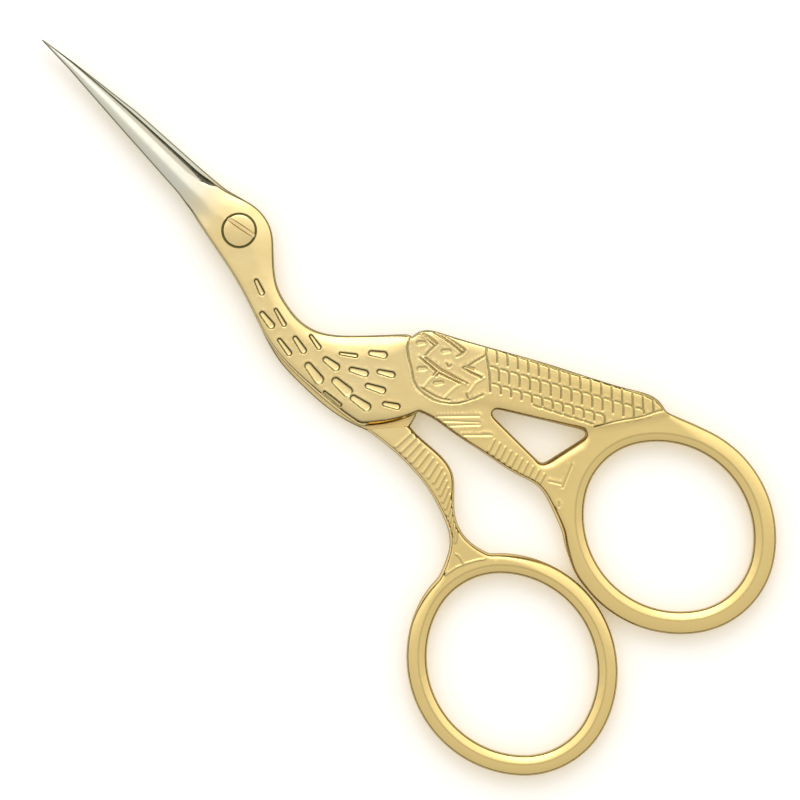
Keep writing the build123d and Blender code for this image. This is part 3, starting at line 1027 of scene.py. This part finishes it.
def carve_tree():
    """Presses lines into both faces of a body: grooves, sunk cells with a lip, or raised ridges."""
    tree, entry = new_tree("carve_lines", (
        ("Lines", "Object"), ("Lip Width", "Float"), ("Full Depth", "Float"),
        ("Groove Tone", "Float"), ("Floor Tilt", "Float"), ("Material", "Material")))
    lines = add_node(tree, "GeometryNodeObjectInfo", {"Object": entry["Lines"]})
    lines = lines.outputs["Geometry"]
    place = add_node(
        tree, "ShaderNodeSeparateXYZ", {0: tree.nodes.new("GeometryNodeInputPosition").outputs[0]})
    flat_place = add_node(
        tree, "ShaderNodeCombineXYZ", {"X": place.outputs[0], "Y": place.outputs[1]}).outputs[0]
    near = add_node(tree, "GeometryNodeProximity", {0: lines}, target_element="EDGES")
    sample = next(s for s in near.inputs if s.name in ("Sample Position", "Source Position"))
    tree.links.new(flat_place, sample)
    distance = near.outputs["Distance"]
    index = add_node(
        tree, "GeometryNodeSampleNearest", {"Geometry": lines, "Sample Position": flat_place},
        domain="POINT").outputs["Index"]
    fact = {}
    for name in line_facts:
        fact[name] = add_node(
            tree, "GeometryNodeSampleIndex",
            {"Geometry": lines, "Value": point_value(tree, name), "Index": index},
            data_type="FLOAT", domain="POINT").outputs["Value"]
    inset = calc(tree, "SUBTRACT", 1.0, calc(tree, "DIVIDE", distance, fact["reach"]), clamp=True)
    bottom = calc(tree, "DIVIDE", inset, calc(tree, "SUBTRACT", 1.0, fact["flat"]), clamp=True)
    eased = ease(tree, bottom)
    floored = calc(tree, "GREATER_THAN", fact["flat"], floored_from)
    raised = calc(tree, "LESS_THAN", fact["sink"], 0.0)
    strip = calc(tree, "MULTIPLY", raised, floored)
    nearest = add_node(tree, "ShaderNodeSeparateXYZ", {0: near.outputs["Position"]}).outputs["Y"]
    aside = calc(tree, "DIVIDE", calc(tree, "SUBTRACT", nearest, place.outputs["Y"]), fact["reach"])
    tilted = calc(tree, "SUBTRACT", floored, strip)
    tilt = calc(tree, "MULTIPLY", calc(tree, "MULTIPLY", aside, tilted), entry["Floor Tilt"])
    sunk = calc(tree, "MULTIPLY", eased, fact["sink"])
    sunk = calc(tree, "MULTIPLY", sunk, calc(tree, "ADD", tilt, 1.0))
    from_rim = calc(tree, "ABSOLUTE", calc(
        tree, "SUBTRACT", calc(tree, "SUBTRACT", distance, fact["reach"]), entry["Lip Width"]))
    swell = calc(
        tree, "SUBTRACT", 1.0, calc(tree, "DIVIDE", from_rim, entry["Lip Width"]), clamp=True)
    lift = calc(tree, "SUBTRACT", calc(tree, "MULTIPLY", ease(tree, swell), fact["lip"]), sunk)
    side = point_value(tree, "face_side")
    offset = add_node(
        tree, "ShaderNodeCombineXYZ", {"Z": calc(tree, "MULTIPLY", lift, side)}).outputs[0]
    # Painted shade on the walls of cells and ridges and across grooves, together with patina in the
    # hollows; the painted shade from the rim attribute is added below
    inside = calc(tree, "SUBTRACT", fact["reach"], distance)
    off_wall = calc(tree, "ABSOLUTE", calc(tree, "SUBTRACT", inside, entry["Lip Width"]))
    wall = calc(tree, "MULTIPLY", calc(tree, "SUBTRACT", 1.0, calc(
        tree, "DIVIDE", off_wall, calc(tree, "MULTIPLY", entry["Lip Width"], wall_width)),
        clamp=True), wall_gain, clamp=True)
    edged = calc(tree, "MAXIMUM", floored, raised)
    broad = calc(tree, "MULTIPLY", inset, groove_gain, clamp=True)
    broad = calc(tree, "MULTIPLY", broad, entry["Groove Tone"])
    tone = calc(tree, "ADD", calc(tree, "MULTIPLY", wall, edged),
                calc(tree, "MULTIPLY", broad, calc(tree, "SUBTRACT", 1.0, edged)))
    tone = calc(tree, "MULTIPLY", tone, calc(tree, "MULTIPLY_ADD", raised, -ridge_pallor, 1.0))
    tone = calc(tree, "MULTIPLY", tone, calc(tree, "SUBTRACT", 1.0, strip))
    deep = calc(tree, "DIVIDE", calc(tree, "ABSOLUTE", fact["sink"]), entry["Full Depth"],
                clamp=True)
    shadow = calc(
        tree, "MULTIPLY", calc(tree, "MULTIPLY", tone, deep), calc(tree, "ABSOLUTE", side))
    shadow = calc(tree, "MAXIMUM", shadow, point_value(tree, "rim"))
    marked = add_node(
        tree, "GeometryNodeStoreNamedAttribute",
        {"Geometry": entry["Geometry"], "Name": "hollow", "Value": shadow},
        data_type="FLOAT", domain="POINT")
    moved = add_node(
        tree, "GeometryNodeSetPosition", {"Geometry": marked.outputs[0], "Offset": offset})
    end_tree(tree, moved.outputs[0], entry["Material"])
    return tree


class LineWork:
    """Lines to carve, each point with its reach, depth, flatness and lip."""

    def __init__(self, tree, material):
        self.tree = tree
        self.material = material
        self.points = []
        self.edges = []
        self.facts = []

    def add(self, line, reach, sink, flat=0.0, lip=0.0, taper=(1.0, 1.0)):
        """Adds one line, with close points, its reach changing evenly from end to end."""
        placed = respaced(np.array(line, float), size("line_spacing"))
        base = len(self.points)
        self.edges += [(base + k, base + k + 1) for k in range(len(placed) - 1)]
        self.points += [tuple(p) for p in placed]
        shares = np.linspace(*taper, len(placed))
        self.facts += [(reach * share, sink, flat, lip) for share in shares]

    def cells(self, table, sink, flat, lip, taper):
        """Adds sunk cells, each with rounded ends inside its two given places."""
        for ax, ay, bx, by, width in table:
            start, end = np.array((ax, ay)), np.array((bx, by))
            run = (end - start) / np.linalg.norm(end - start)
            half = width / 2
            inset = min(half * 0.9, np.linalg.norm(end - start) * 0.42)
            ends = (start + run * inset * taper[0], end - run * inset * taper[1])
            self.add(ends, half, sink, flat, lip, taper)

    def strokes(self, path, count, shape, turns, scales, reach, sink, flat=0.0, lip=0.0):
        """Adds strokes set out along a path by the node tree."""
        mesh = bpy.data.meshes.new("stroke_path")
        mesh.from_pydata([(x * MM, y * MM, 0) for x, y in path],
                         [(k, k + 1) for k in range(len(path) - 1)], [])
        base = bpy.data.objects.new("stroke_path", mesh)
        bpy.context.scene.collection.objects.link(base)
        start, bend, end = ((x * MM, y * MM, 0.0) for x, y in shape)
        made = run_tree(base, self.tree, {
            "Count": count, "Start": start, "Bend": bend, "End": end,
            "First Turn": math.radians(turns[0]),
            "Last Turn": math.radians(turns[1]), "First Scale": scales[0],
            "Last Scale": scales[1], "Point Spacing": size("line_spacing") * MM,
            "reach": reach, "sink": sink, "flat": flat, "lip": lip, "Material": self.material})
        start = len(self.points)
        self.points += [(v.co.x / MM, v.co.y / MM) for v in made.vertices]
        self.edges += [(start + e.vertices[0], start + e.vertices[1]) for e in made.edges]
        self.facts += [(reach, sink, flat, lip)] * len(made.vertices)
        bpy.data.objects.remove(base)

    def pattern(self):
        """The points of all lines, how far each one reaches, and rows of points beside them."""
        points = np.array(self.points)
        reach = np.array([fact[0] for fact in self.facts])
        pairs = np.array(self.edges)
        run = points[pairs[:, 1]] - points[pairs[:, 0]]
        side = np.stack([-run[:, 1], run[:, 0]], axis=1)
        side *= (reach[pairs[:, 0]] / np.maximum(np.linalg.norm(run, axis=1), 1e-9))[:, None]
        middle = points[pairs].mean(axis=1)
        tracks = np.vstack([points] + [middle + side * k for k in (-1.0, -0.55, 0.55, 1.0)])
        return {"points": points, "reach": reach, "tracks": tracks}

    def object(self, name):
        """The lines as an object for the carving tree, its facts in metres."""
        mesh = bpy.data.meshes.new(name)
        mesh.from_pydata([(x * MM, y * MM, 0) for x, y in self.points], self.edges, [])
        scales = (MM, MM, 1, MM)
        for k, fact in enumerate(line_facts):
            layer = mesh.attributes.new(fact, "FLOAT", "POINT")
            layer.data.foreach_set("value", [f[k] * scales[k] for f in self.facts])
        made = bpy.data.objects.new(name, mesh)
        bpy.context.scene.collection.objects.link(made)
        return made


def carved(body, work, material):
    """The body with its lines pressed in, as a plain mesh."""
    lines = work.object(body.name + "_lines")
    mesh = run_tree(body, carve_tree(), {
        "Lines": lines, "Lip Width": size("lip_width") * MM,
        "Full Depth": size("groove_sink") * MM,
        "Groove Tone": bpy.context.scene.scissors_finish.groove_tone,
        "Floor Tilt": bpy.context.scene.scissors_sizes.floor_tilt, "Material": material})
    old = body.data
    body.data = mesh
    mesh.name = body.name
    bpy.data.meshes.remove(old)
    bpy.data.objects.remove(lines)
    return body


def neck_lines(tree, material):
    """The carving that both halves share: the cells down the neck."""
    work = LineWork(tree, material)
    work.cells(neck_cells, size("cell_sink"), cell_flat, size("cell_lip"), cell_taper)
    return work


def front_lines(tree, material):
    """Everything carved on the front half."""
    work = neck_lines(tree, material)
    groove, depth = size("groove_reach"), size("groove_sink")
    drops = [(*seen(drop[:2]), *seen(drop[2:4]), drop[4] * size("pixel"))
             for drop in shoulder_drops]
    work.cells(drops, size("cell_sink") * drop_sink, drop_flat, size("cell_lip"), drop_taper)
    for line in shoulder_lines:
        work.add([seen(p) for p in line], groove, depth, 0.0, size("groove_lip") * shoulder_lip)
    for line in shoulder_ridges:
        work.add([seen(p) for p in line], groove * strip_reach, -size("ridge_rise"), strip_flat)
    for first, last, count, start, bend, end in feather_rows:
        shape = [seen(place, (0.0, 0.0)) for place in (start, bend, end)]
        work.strokes((seen(first), seen(last)), count, shape, (0, 0), (1, 1),
                     groove, depth, 0.0, size("groove_lip"))
    for line in (feather_edge, feather_end, last_feather):
        work.add([seen(p) for p in line], groove, depth, 0.0, size("groove_lip"))
    for line in front_leg_lines:
        work.add(line, groove, depth * leg_sink, 0.0, size("groove_lip") * leg_lip)
    rib = ((-0.25, 0.75), (0.0, 0.0), (0.25, -0.75))
    work.strokes(((-42.0, -3.35), (-49.6, -4.75)), 10, rib, (0, 0), (1, 1),
                 size("rib_reach"), -size("ridge_rise"))
    return work


def rear_lines(tree, material):
    """Everything carved on the rear half."""
    work = neck_lines(tree, material)
    rib = ((0.0, 1.25), (0.0, 0.0), (0.0, -1.25))
    work.strokes(((-33.6, 4.1), (-40.3, 4.2), (-43.3, 5.7), (-47.0, 8.0)), 17, rib, (-3, 38),
                 (1.0, 0.62), size("rib_reach"), -size("ridge_rise"))
    for line in rear_mark_ridges:
        work.add(line, 0.22, -size("ridge_rise"))
    return work


def circle(radius, count):
    """A closed ring of points round the pivot."""
    turn = np.linspace(0, 2 * math.pi, count + 1)
    return np.stack([radius * np.cos(turn), radius * np.sin(turn)], axis=1)


def step_pair(line, gap=0.012):
    """Two lines close on each side of an upright step."""
    points = np.array(line)
    pieces = [respaced(points[k:k + 2], 0.3) for k in range(len(points) - 1)]
    dense = np.vstack([p[:-1] for p in pieces[:-1]] + [pieces[-1]])
    for end, inner in ((0, 1), (-1, -2)):
        run = dense[inner] - dense[end]
        dense[end] += run * 0.04 / np.linalg.norm(run)
    return [dense + np.array((-gap, 0)), dense + np.array((gap, 0))]


def facet_lines():
    """The front blade's ridge lines, as lines for the mesh to follow."""
    table = np.array(blade_facets)[3:-1]
    lines = [np.stack([table[:, 0], table[:, k] + shift], axis=1)
             for k, shift in ((1, -0.28), (1, -0.09), (1, 0.09), (1, 0.28), (3, 0.0), (4, 0.0))]
    brink = np.array(gap_shade_brink)[:-1]
    lines += [brink + np.array((0, shift)) for shift in (-0.06, 0.06)]
    return [respaced(line, 0.4) for line in lines]


def gilt_steel(name):
    """Gilt steel whose gilding thins out to bare ground steel along the blade."""
    colours = bpy.context.scene.scissors_finish
    material = bpy.data.materials.new(name)
    material.use_nodes = True
    tree = material.node_tree
    tree.nodes.clear()
    place = tree.nodes.new("ShaderNodeTexCoord").outputs["Object"]
    x = add_node(tree, "ShaderNodeSeparateXYZ", {0: place}).outputs["X"]
    edge = calc(tree, "MULTIPLY_ADD", noise(tree, place, patch_scale, 3.0), patch_shift, x)
    bare = ease(tree, edge, colours.gilding_end, colours.steel_start)
    cloud = noise(tree, place, cloud_scale, 4.0)
    legs = ease(tree, x, colours.legs_start, colours.legs_full)
    gilding = mix(tree, legs, colours.gold, colours.gold_legs)
    tone = mix(tree, cloud, gilding, colours.gold_deep)
    metal = mix(tree, bare, tone, colours.steel)
    # Painted shade from the edges, walls, blade edge, seat and screw, and the patina in the carved
    # hollows, darken the metal towards the hollow colour
    wear_and_shade = calc(tree, "MULTIPLY", shader_value(tree, "hollow"), colours.shade_and_patina_strength)
    shown = mix(tree, wear_and_shade, metal, colours.hollow)
    grain = add_node(tree, "ShaderNodeMapping", {"Vector": place, "Scale": grain_stretch})
    scratch = noise(tree, grain.outputs[0], scratch_scale, 5.0)
    pits = noise(tree, place, pit_scale, 3.0)
    mate = shader_value(tree, "mate")
    rough = calc(tree, "MULTIPLY_ADD", pits, pit_rough, colours.roughness)
    rough = calc(tree, "ADD", rough, calc(tree, "MULTIPLY", bare, bare_rough))
    rough = calc(tree, "ADD", rough, calc(tree, "MULTIPLY", mate, mate_rough))
    scratched = calc(tree, "MULTIPLY", calc(tree, "MAXIMUM", bare, mate), scratch_height)
    ground = calc(tree, "MULTIPLY", scratch, scratched)
    cast = calc(tree, "MULTIPLY", cloud, cloud_height)
    pitted = calc(tree, "MULTIPLY", pits, pit_height)
    height = calc(tree, "ADD", calc(tree, "ADD", ground, cast), pitted)
    bump = add_node(tree, "ShaderNodeBump", {"Height": height, "Strength": 0.7, "Distance": 1.0})
    shader = add_node(tree, "ShaderNodeBsdfPrincipled", {
        "Base Color": shown, "Roughness": rough, "Metallic": 1.0, "Normal": bump.outputs[0]})
    add_node(tree, "ShaderNodeOutputMaterial", {"Surface": shader.outputs[0]})
    return material


def add_body(name, body, node):
    """Puts a finished piece in place of its solid."""
    piece = bpy.data.objects[name]
    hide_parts(node)
    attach(piece, body)


def length(name, description, value):
    """A length in the sidebar, given in millimetres."""
    return bpy.props.FloatProperty(
        name=name, description=description, default=value * MM, unit="LENGTH")


def factor(name, description, value):
    """A share from 0 to 1 in the sidebar."""
    return bpy.props.FloatProperty(
        name=name, description=description, default=value, subtype="FACTOR")


def colour(name, description, value):
    """An opaque colour in the sidebar."""
    return bpy.props.FloatVectorProperty(
        name=name, description=description, subtype="COLOR", size=4, default=(*value, 1.0))


class ScissorsSizes(bpy.types.PropertyGroup):
    """Sizes of the carving and of the mesh."""

    groove_reach: length("Groove reach", "Half the width of an engraved line", 0.17)
    groove_sink: length("Groove depth", "Depth of an engraved line", 0.13)
    groove_lip: length("Groove lip", "Metal thrown up beside an engraved line", 0.025)
    cell_sink: length("Cell depth", "Depth of the sunk cells down the neck", 0.20)
    cell_lip: length("Cell lip", "Raised rim round a sunk cell", 0.02)
    floor_tilt: factor("Floor tilt", "How much deeper a cell is on the nape's side", 0.35)
    lip_width: length("Lip width", "Width of a raised rim beside carving", 0.11)
    ridge_rise: length("Ridge height", "Height of the ribs and raised strips", 0.11)
    rib_reach: length("Rib reach", "Half the width of a rib on the legs", 0.27)
    # The dark strip along every outline is painted shade, the dark reflection of the polished rounded
    # corners
    rim_shade_width: length("Rim width", "Width of the dark, unpolished strip along every outline", 0.17)
    edge_round: length("Edge round", "Radius of the polished corner along every outline", 0.26)
    slot_wear: length("Slot wear", "How far the screw slot's edges are broken", 0.09)
    pixel: length("Pixel", "Length that one pixel of the photograph covers", 0.1275)
    wing_blend: length("Wing blend", "Distance over which the leg rises to the wing", 0.7)
    rim_spacing: length("Rim spacing", "Distance between points along the outlines", 0.22)
    fine_spacing: length("Fine spacing", "Distance between points at carving", 0.125)
    wide_spacing: length("Wide spacing", "Distance between points on plain faces", 0.45)
    line_spacing: length("Line spacing", "Distance between points along a carved line", 0.15)
    trace_spacing: length(
        "Trace spacing", "Distance between points while an outline is smoothed", 0.1)
    corner_reach: length("Corner reach", "Length over which a corner's turn is measured", 0.4)
    corner_turn: bpy.props.FloatProperty(
        name="Corner turn", description="Turn in degrees past which a corner stays sharp",
        default=42.0)
    crease_turn: bpy.props.FloatProperty(
        name="Crease turn", description="Turn in degrees past which a crease is shaded sharp",
        default=18.0)
    trace_passes: bpy.props.IntProperty(
        name="Trace passes", description="How often an outline is smoothed", default=20)


class ScissorsFinish(bpy.types.PropertyGroup):
    """Colours and finish of the metal."""

    gold: colour("Gold", "Polished gilding", (0.87, 0.70, 0.355))
    gold_deep: colour("Deep gold", "Where the gilding is thicker", (0.80, 0.60, 0.25))
    steel: colour("Steel", "Bare ground steel of the blades", (0.72, 0.70, 0.58))
    # Painted shade: its colour, which is also that of the patina in the carved hollows, how strongly
    # it darkens, how dark grooves are painted beside cell walls, and how dark the upright walls are
    # painted
    hollow: colour("Hollow", "Tone at the bottom of carving", (0.10, 0.095, 0.022))
    shade_and_patina_strength: factor("Hollow tone", "How much the bottom of carving darkens", 0.92)
    groove_tone: factor("Groove tone", "How dark an engraved line is beside a cell's wall", 0.56)
    wall_shade: factor("Wall tone", "How much the upright sides darken", 0.12)
    gold_legs: colour("Gold of the legs", "Gilding of the legs and bows", (0.84, 0.63, 0.245))
    legs_start: length("Legs start", "Reach at which the legs' gilding begins", -24.0)
    legs_full: length("Legs full", "Reach past which all the gilding is the legs'", -46.0)
    roughness: factor("Roughness", "Roughness of the polish", 0.14)
    gilding_end: length("Gilding end", "Reach at which the gilding begins to thin out", 2.0)
    steel_start: length("Steel start", "Reach at which the blade is bare steel", 11.0)


class ScissorsStage(bpy.types.PropertyGroup):
    """Camera, light and floor."""

    view_side: length("View side", "Side of the square that the camera sees", 102.0)
    view_centre: bpy.props.FloatVectorProperty(
        name="View centre", description="Place at the middle of the view", size=2,
        default=(-29.7 * MM, 0.78 * MM), unit="LENGTH")
    lens: bpy.props.FloatProperty(
        name="Lens", description="Focal length in millimetres", default=200.0)
    light_turn: bpy.props.FloatProperty(
        name="Light turn", description="Direction in plan that the light comes from",
        default=math.radians(-45.0), subtype="ANGLE")
    light_level: bpy.props.FloatProperty(
        name="Light level", description="Strength of the studio's light", default=1.0)
    floor: colour("Floor", "Colour of the floor", (0.84, 0.85, 0.935))
    glow_tone: colour(
        "Glow tone", "Tint of the floor's lift, which shows in its shadows", (1.0, 0.82, 0.38))
    floor_glow: bpy.props.FloatProperty(
        name="Floor glow", description="How far the floor is lifted to white", default=0.32)


def build_half(names, cut, tables, lines, heights, top_lines, under_lines):
    """Builds a half on its solid's outlines, carves it and puts it in the solid's place."""
    name, body, node, slot = names
    material = gilt_steel(slot)
    loops = [even_loop(loop, size("rim_spacing")) for loop in section_loops(node, cut)]
    outlines = [(loop, keyed(loop, table)) for loop, table in zip(loops, tables)]
    work = lines(stroke_tree(), material)
    half = plan_body(name, outlines, work.pattern(), heights, top_lines, under_lines)
    carved(half, work, material)
    add_body(name, body, node)


class SCISSORS_OT_front_half(bpy.types.Operator):
    """Builds the front half: neck, wing, leg and bow in one piece, carved on both faces"""

    bl_idname = "scissors.front_half"
    bl_label = "Front half"

    def execute(self, context):
        seat = [circle(seat_radius + k, 96) for k in (0.06, 0.0, -0.02)]
        build_half(("gilt_front_half", "front", "front_half", "front_gilt_steel"), front_cut,
                   (front_edge, front_bow_edge, window_edge, bore_edge), front_lines,
                   front_heights, seat + facet_lines(), step_pair((crotch, notch)))
        return {"FINISHED"}


class SCISSORS_OT_rear_half(bpy.types.Operator):
    """Builds the rear half: the other blade, breast, ribbed leg and bow in one piece"""

    bl_idname = "scissors.rear_half"
    bl_label = "Rear half"

    def execute(self, context):
        step = step_pair((rear_breast, rear_crotch, step_corner, rear_notch))
        build_half(("gilt_rear_half", "rear", "rear_half", "rear_gilt_steel"), rear_cut,
                   (rear_edge, rear_bow_edge, bore_edge), rear_lines, rear_heights, step,
                   [flipped(line) for line in facet_lines()])
        return {"FINISHED"}


class SCISSORS_OT_pivot_screw(bpy.types.Operator):
    """Builds the slotted shoulder screw that the halves turn on"""

    bl_idname = "scissors.pivot_screw"
    bl_label = "Pivot screw"

    def execute(self, context):
        material = gilt_steel("gilt_screw")
        turn = bmesh.new()
        profile = [(0, 0), (thread_radius - thread_chamfer, 0), (thread_radius, thread_chamfer),
                   (thread_radius, thread_top), (shank_radius, shank_base),
                   (shank_radius, head_base), (head_radius - head_chamfer, head_base),
                   (head_radius, head_base + head_chamfer)]
        profile += [(head_radius - inset, head_top - drop) for inset, drop in head_crown]
        profile.append((0, head_top))
        ring = [turn.verts.new((r * MM, 0, z * MM)) for r, z in profile]
        edges = [turn.edges.new(pair) for pair in zip(ring, ring[1:])]
        bmesh.ops.spin(turn, geom=ring + edges, cent=(0, 0, 0), axis=(0, 0, 1),
                       angle=2 * math.pi, steps=96, use_merge=True)
        bmesh.ops.remove_doubles(turn, verts=turn.verts, dist=0.001 * MM)
        bmesh.ops.recalc_face_normals(turn, faces=turn.faces)
        mesh = bpy.data.meshes.new("gilt_pivot_screw")
        turn.to_mesh(mesh)
        turn.free()
        screw = bpy.data.objects.new("gilt_pivot_screw", mesh)
        context.scene.collection.objects.link(screw)
        cutter = self.slot_cutter(context)
        cut = screw.modifiers.new("slot", "BOOLEAN")
        cut.object = cutter
        cut.operation = "DIFFERENCE"
        context.view_layer.update()
        graph = context.evaluated_depsgraph_get()
        screw.data = bpy.data.meshes.new_from_object(screw.evaluated_get(graph), depsgraph=graph)
        screw.modifiers.clear()
        bpy.data.objects.remove(cutter)
        screw.data.materials.clear()
        screw.data.materials.append(material)
        screw.data.shade_smooth()
        screw.data.set_sharp_from_angle(angle=math.radians(30))
        # Painted shade on the screw: the head's sides and the slot's walls are darker, most of all low
        # down, with none on faces that look up
        tone = screw.data.attributes.new("hollow", "FLOAT", "CORNER")
        low = (head_top - 0.15) * MM
        dark = [0.0 if abs(face.normal.z) > 0.9 else 0.8 if face.center.z < low else 0.3
                for face in screw.data.polygons for _ in face.vertices]
        tone.data.foreach_set("value", dark)
        add_body("gilt_pivot_screw", "rear", "pivot_screw")
        return {"FINISHED"}

    def slot_cutter(self, context):
        """A long bar with the slot's section, its upper edges broken."""
        work = bmesh.new()
        half, wear_and_shade, floor = slot_width / 2, size("slot_wear"), -slot_depth * 0.6
        section = ((-half - wear_and_shade, slot_depth), (-half - wear_and_shade, 0), (-half + wear_and_shade / 2, -wear_and_shade * 1.6),
                   (-half + wear_and_shade / 2, floor), (half - wear_and_shade / 2, floor),
                   (half - wear_and_shade / 2, -wear_and_shade * 1.6), (half + wear_and_shade, 0), (half + wear_and_shade, slot_depth))
        ends = [[work.verts.new((x * MM, y * MM, z * MM)) for y, z in section] for x in (-3, 3)]
        for k in range(len(section)):
            n = (k + 1) % len(section)
            work.faces.new((ends[0][k], ends[0][n], ends[1][n], ends[1][k]))
        work.faces.new(ends[0][::-1])
        work.faces.new(ends[1])
        bmesh.ops.recalc_face_normals(work, faces=work.faces)
        spin = Matrix.Rotation(math.radians(slot_turn), 4, "Z")
        aside = Matrix.Translation((0, -slot_shift * MM, 0))
        shift = Matrix.Translation((0, 0, head_top * MM))
        work.transform(shift @ spin @ aside)
        mesh = bpy.data.meshes.new("slot_bar")
        work.to_mesh(mesh)
        work.free()
        bar = bpy.data.objects.new("slot_bar", mesh)
        context.scene.collection.objects.link(bar)
        return bar


class SCISSORS_OT_stage(bpy.types.Operator):
    """Sets the white floor, the soft studio light and the camera straight above"""

    bl_idname = "scissors.stage"
    bl_label = "Stage"

    def execute(self, context):
        stage = context.scene.scissors_stage
        self.floor(context, stage)
        self.sky(context, stage)
        self.lamp(context, stage)
        self.camera(context, stage)
        context.scene.view_settings.view_transform = "Standard"
        return {"FINISHED"}

    def floor(self, context, stage):
        """A wide plain floor that the camera and the metal see as white."""
        mesh = bpy.data.meshes.new("floor")
        mesh.from_pydata([(x * floor_reach, y * floor_reach, floor_level) for x, y in
                          ((-1, -1), (1, -1), (1, 1), (-1, 1))], [], [(0, 1, 2, 3)])
        floor = bpy.data.objects.new("floor", mesh)
        context.scene.collection.objects.link(floor)
        material = bpy.data.materials.new("white_floor")
        material.use_nodes = True
        tree = material.node_tree
        tree.nodes.clear()
        matt = add_node(tree, "ShaderNodeBsdfDiffuse", {"Color": stage.floor})
        path = tree.nodes.new("ShaderNodeLightPath").outputs
        direct = calc(tree, "MAXIMUM", path["Is Camera Ray"], path["Is Glossy Ray"])
        direct = calc(tree, "MAXIMUM", direct, path["Is Transmission Ray"])
        glow = add_node(tree, "ShaderNodeEmission", {
            "Color": stage.glow_tone,
            "Strength": calc(tree, "MULTIPLY", direct, stage.floor_glow)})
        both = add_node(tree, "ShaderNodeAddShader", {0: matt.outputs[0], 1: glow.outputs[0]})
        add_node(tree, "ShaderNodeOutputMaterial", {"Surface": both.outputs[0]})
        mesh.materials.append(material)

    def sky(self, context, stage):
        """A soft sky, brighter on the light's side and dim at the horizon."""
        world = bpy.data.worlds.new("studio")
        context.scene.world = world
        world.use_nodes = True
        tree = world.node_tree
        tree.nodes.clear()
        facing = tree.nodes.new("ShaderNodeTexCoord").outputs["Generated"]
        split = add_node(tree, "ShaderNodeSeparateXYZ", {0: facing}).outputs
        toward = calc(tree, "ADD",
                      calc(tree, "MULTIPLY", split["X"], math.cos(stage.light_turn)),
                      calc(tree, "MULTIPLY", split["Y"], math.sin(stage.light_turn)))
        ramp = tree.nodes.new("ShaderNodeValToRGB")
        tree.links.new(calc(tree, "MULTIPLY_ADD", toward, 0.5, 0.5), ramp.inputs[0])
        stops = ramp.color_ramp.elements
        for position, _ in sky_stops[1:-1]:
            stops.new(position)
        for stop, (position, level) in zip(stops, sky_stops):
            stop.position = position
            stop.color = (level,) * 3 + (1,)
        horizon = ease(tree, split["Z"], horizon_start, horizon_full, horizon_share)
        level = calc(tree, "MULTIPLY", horizon, sky_power * stage.light_level)
        sky = add_node(tree, "ShaderNodeBackground", {"Color": ramp.outputs[0], "Strength": level})
        add_node(tree, "ShaderNodeOutputWorld", {"Surface": sky.outputs[0]})

    def lamp(self, context, stage):
        """One large soft lamp on the light's side."""
        light = bpy.data.lights.new("key_lamp", "AREA")
        light.shape = "DISK"
        light.size = lamp_size
        light.energy = lamp_power * stage.light_level
        lamp = bpy.data.objects.new("key_lamp", light)
        context.scene.collection.objects.link(lamp)
        turn = stage.light_turn
        place = Vector((math.cos(turn) * lamp_reach, math.sin(turn) * lamp_reach, lamp_reach))
        lamp.location = place
        lamp.rotation_euler = place.to_track_quat("Z", "Y").to_euler()

    def camera(self, context, stage):
        """A long lens straight above, the beak pointing to the view's upper left corner."""
        data = bpy.data.cameras.new("camera")
        data.lens = stage.lens
        camera = bpy.data.objects.new("camera", data)
        context.scene.collection.objects.link(camera)
        away = stage.view_side / 2 / (data.sensor_width / 2 / data.lens)
        right = Vector((-1, -1, 0)).normalized()
        up = Vector((1, -1, 0)).normalized()
        turn = Matrix((right, up, (0, 0, 1))).transposed().to_4x4()
        x, y = stage.view_centre
        camera.matrix_world = Matrix.Translation((x, y, away + joint_plane * MM)) @ turn
        context.scene.camera = camera


class SCISSORS_PT_panel(bpy.types.Panel):
    """Lists the scissors' pieces in the sidebar"""

    bl_idname = "SCISSORS_PT_panel"
    bl_label = "Stork scissors"
    bl_space_type = "VIEW_3D"
    bl_region_type = "UI"
    bl_category = "Scissors"

    def draw(self, context):
        for operator in operators:
            self.layout.operator(operator.bl_idname)
        for group in (context.scene.scissors_sizes, context.scene.scissors_finish,
                      context.scene.scissors_stage):
            for name in group.__annotations__:
                self.layout.prop(group, name)


operators = (
    SCISSORS_OT_stage,
    SCISSORS_OT_rear_half,
    SCISSORS_OT_front_half,
    SCISSORS_OT_pivot_screw,
)
classes = (ScissorsSizes, ScissorsFinish, ScissorsStage, *operators, SCISSORS_PT_panel)


def register():
    """Registers the classes and the sizes that they share."""
    for item in classes:
        bpy.utils.register_class(item)
    bpy.types.Scene.scissors_sizes = bpy.props.PointerProperty(type=ScissorsSizes)
    bpy.types.Scene.scissors_finish = bpy.props.PointerProperty(type=ScissorsFinish)
    bpy.types.Scene.scissors_stage = bpy.props.PointerProperty(type=ScissorsStage)


def unregister():
    """Takes the classes and the shared sizes out again."""
    del bpy.types.Scene.scissors_sizes
    del bpy.types.Scene.scissors_finish
    del bpy.types.Scene.scissors_stage
    for item in reversed(classes):
        bpy.utils.unregister_class(item)


def main():
    """Builds the stage and every piece."""
    register()
    bpy.ops.scissors.stage()
    bpy.ops.scissors.rear_half()
    bpy.ops.scissors.front_half()
    bpy.ops.scissors.pivot_screw()


if __name__ == "__main__":
    main()
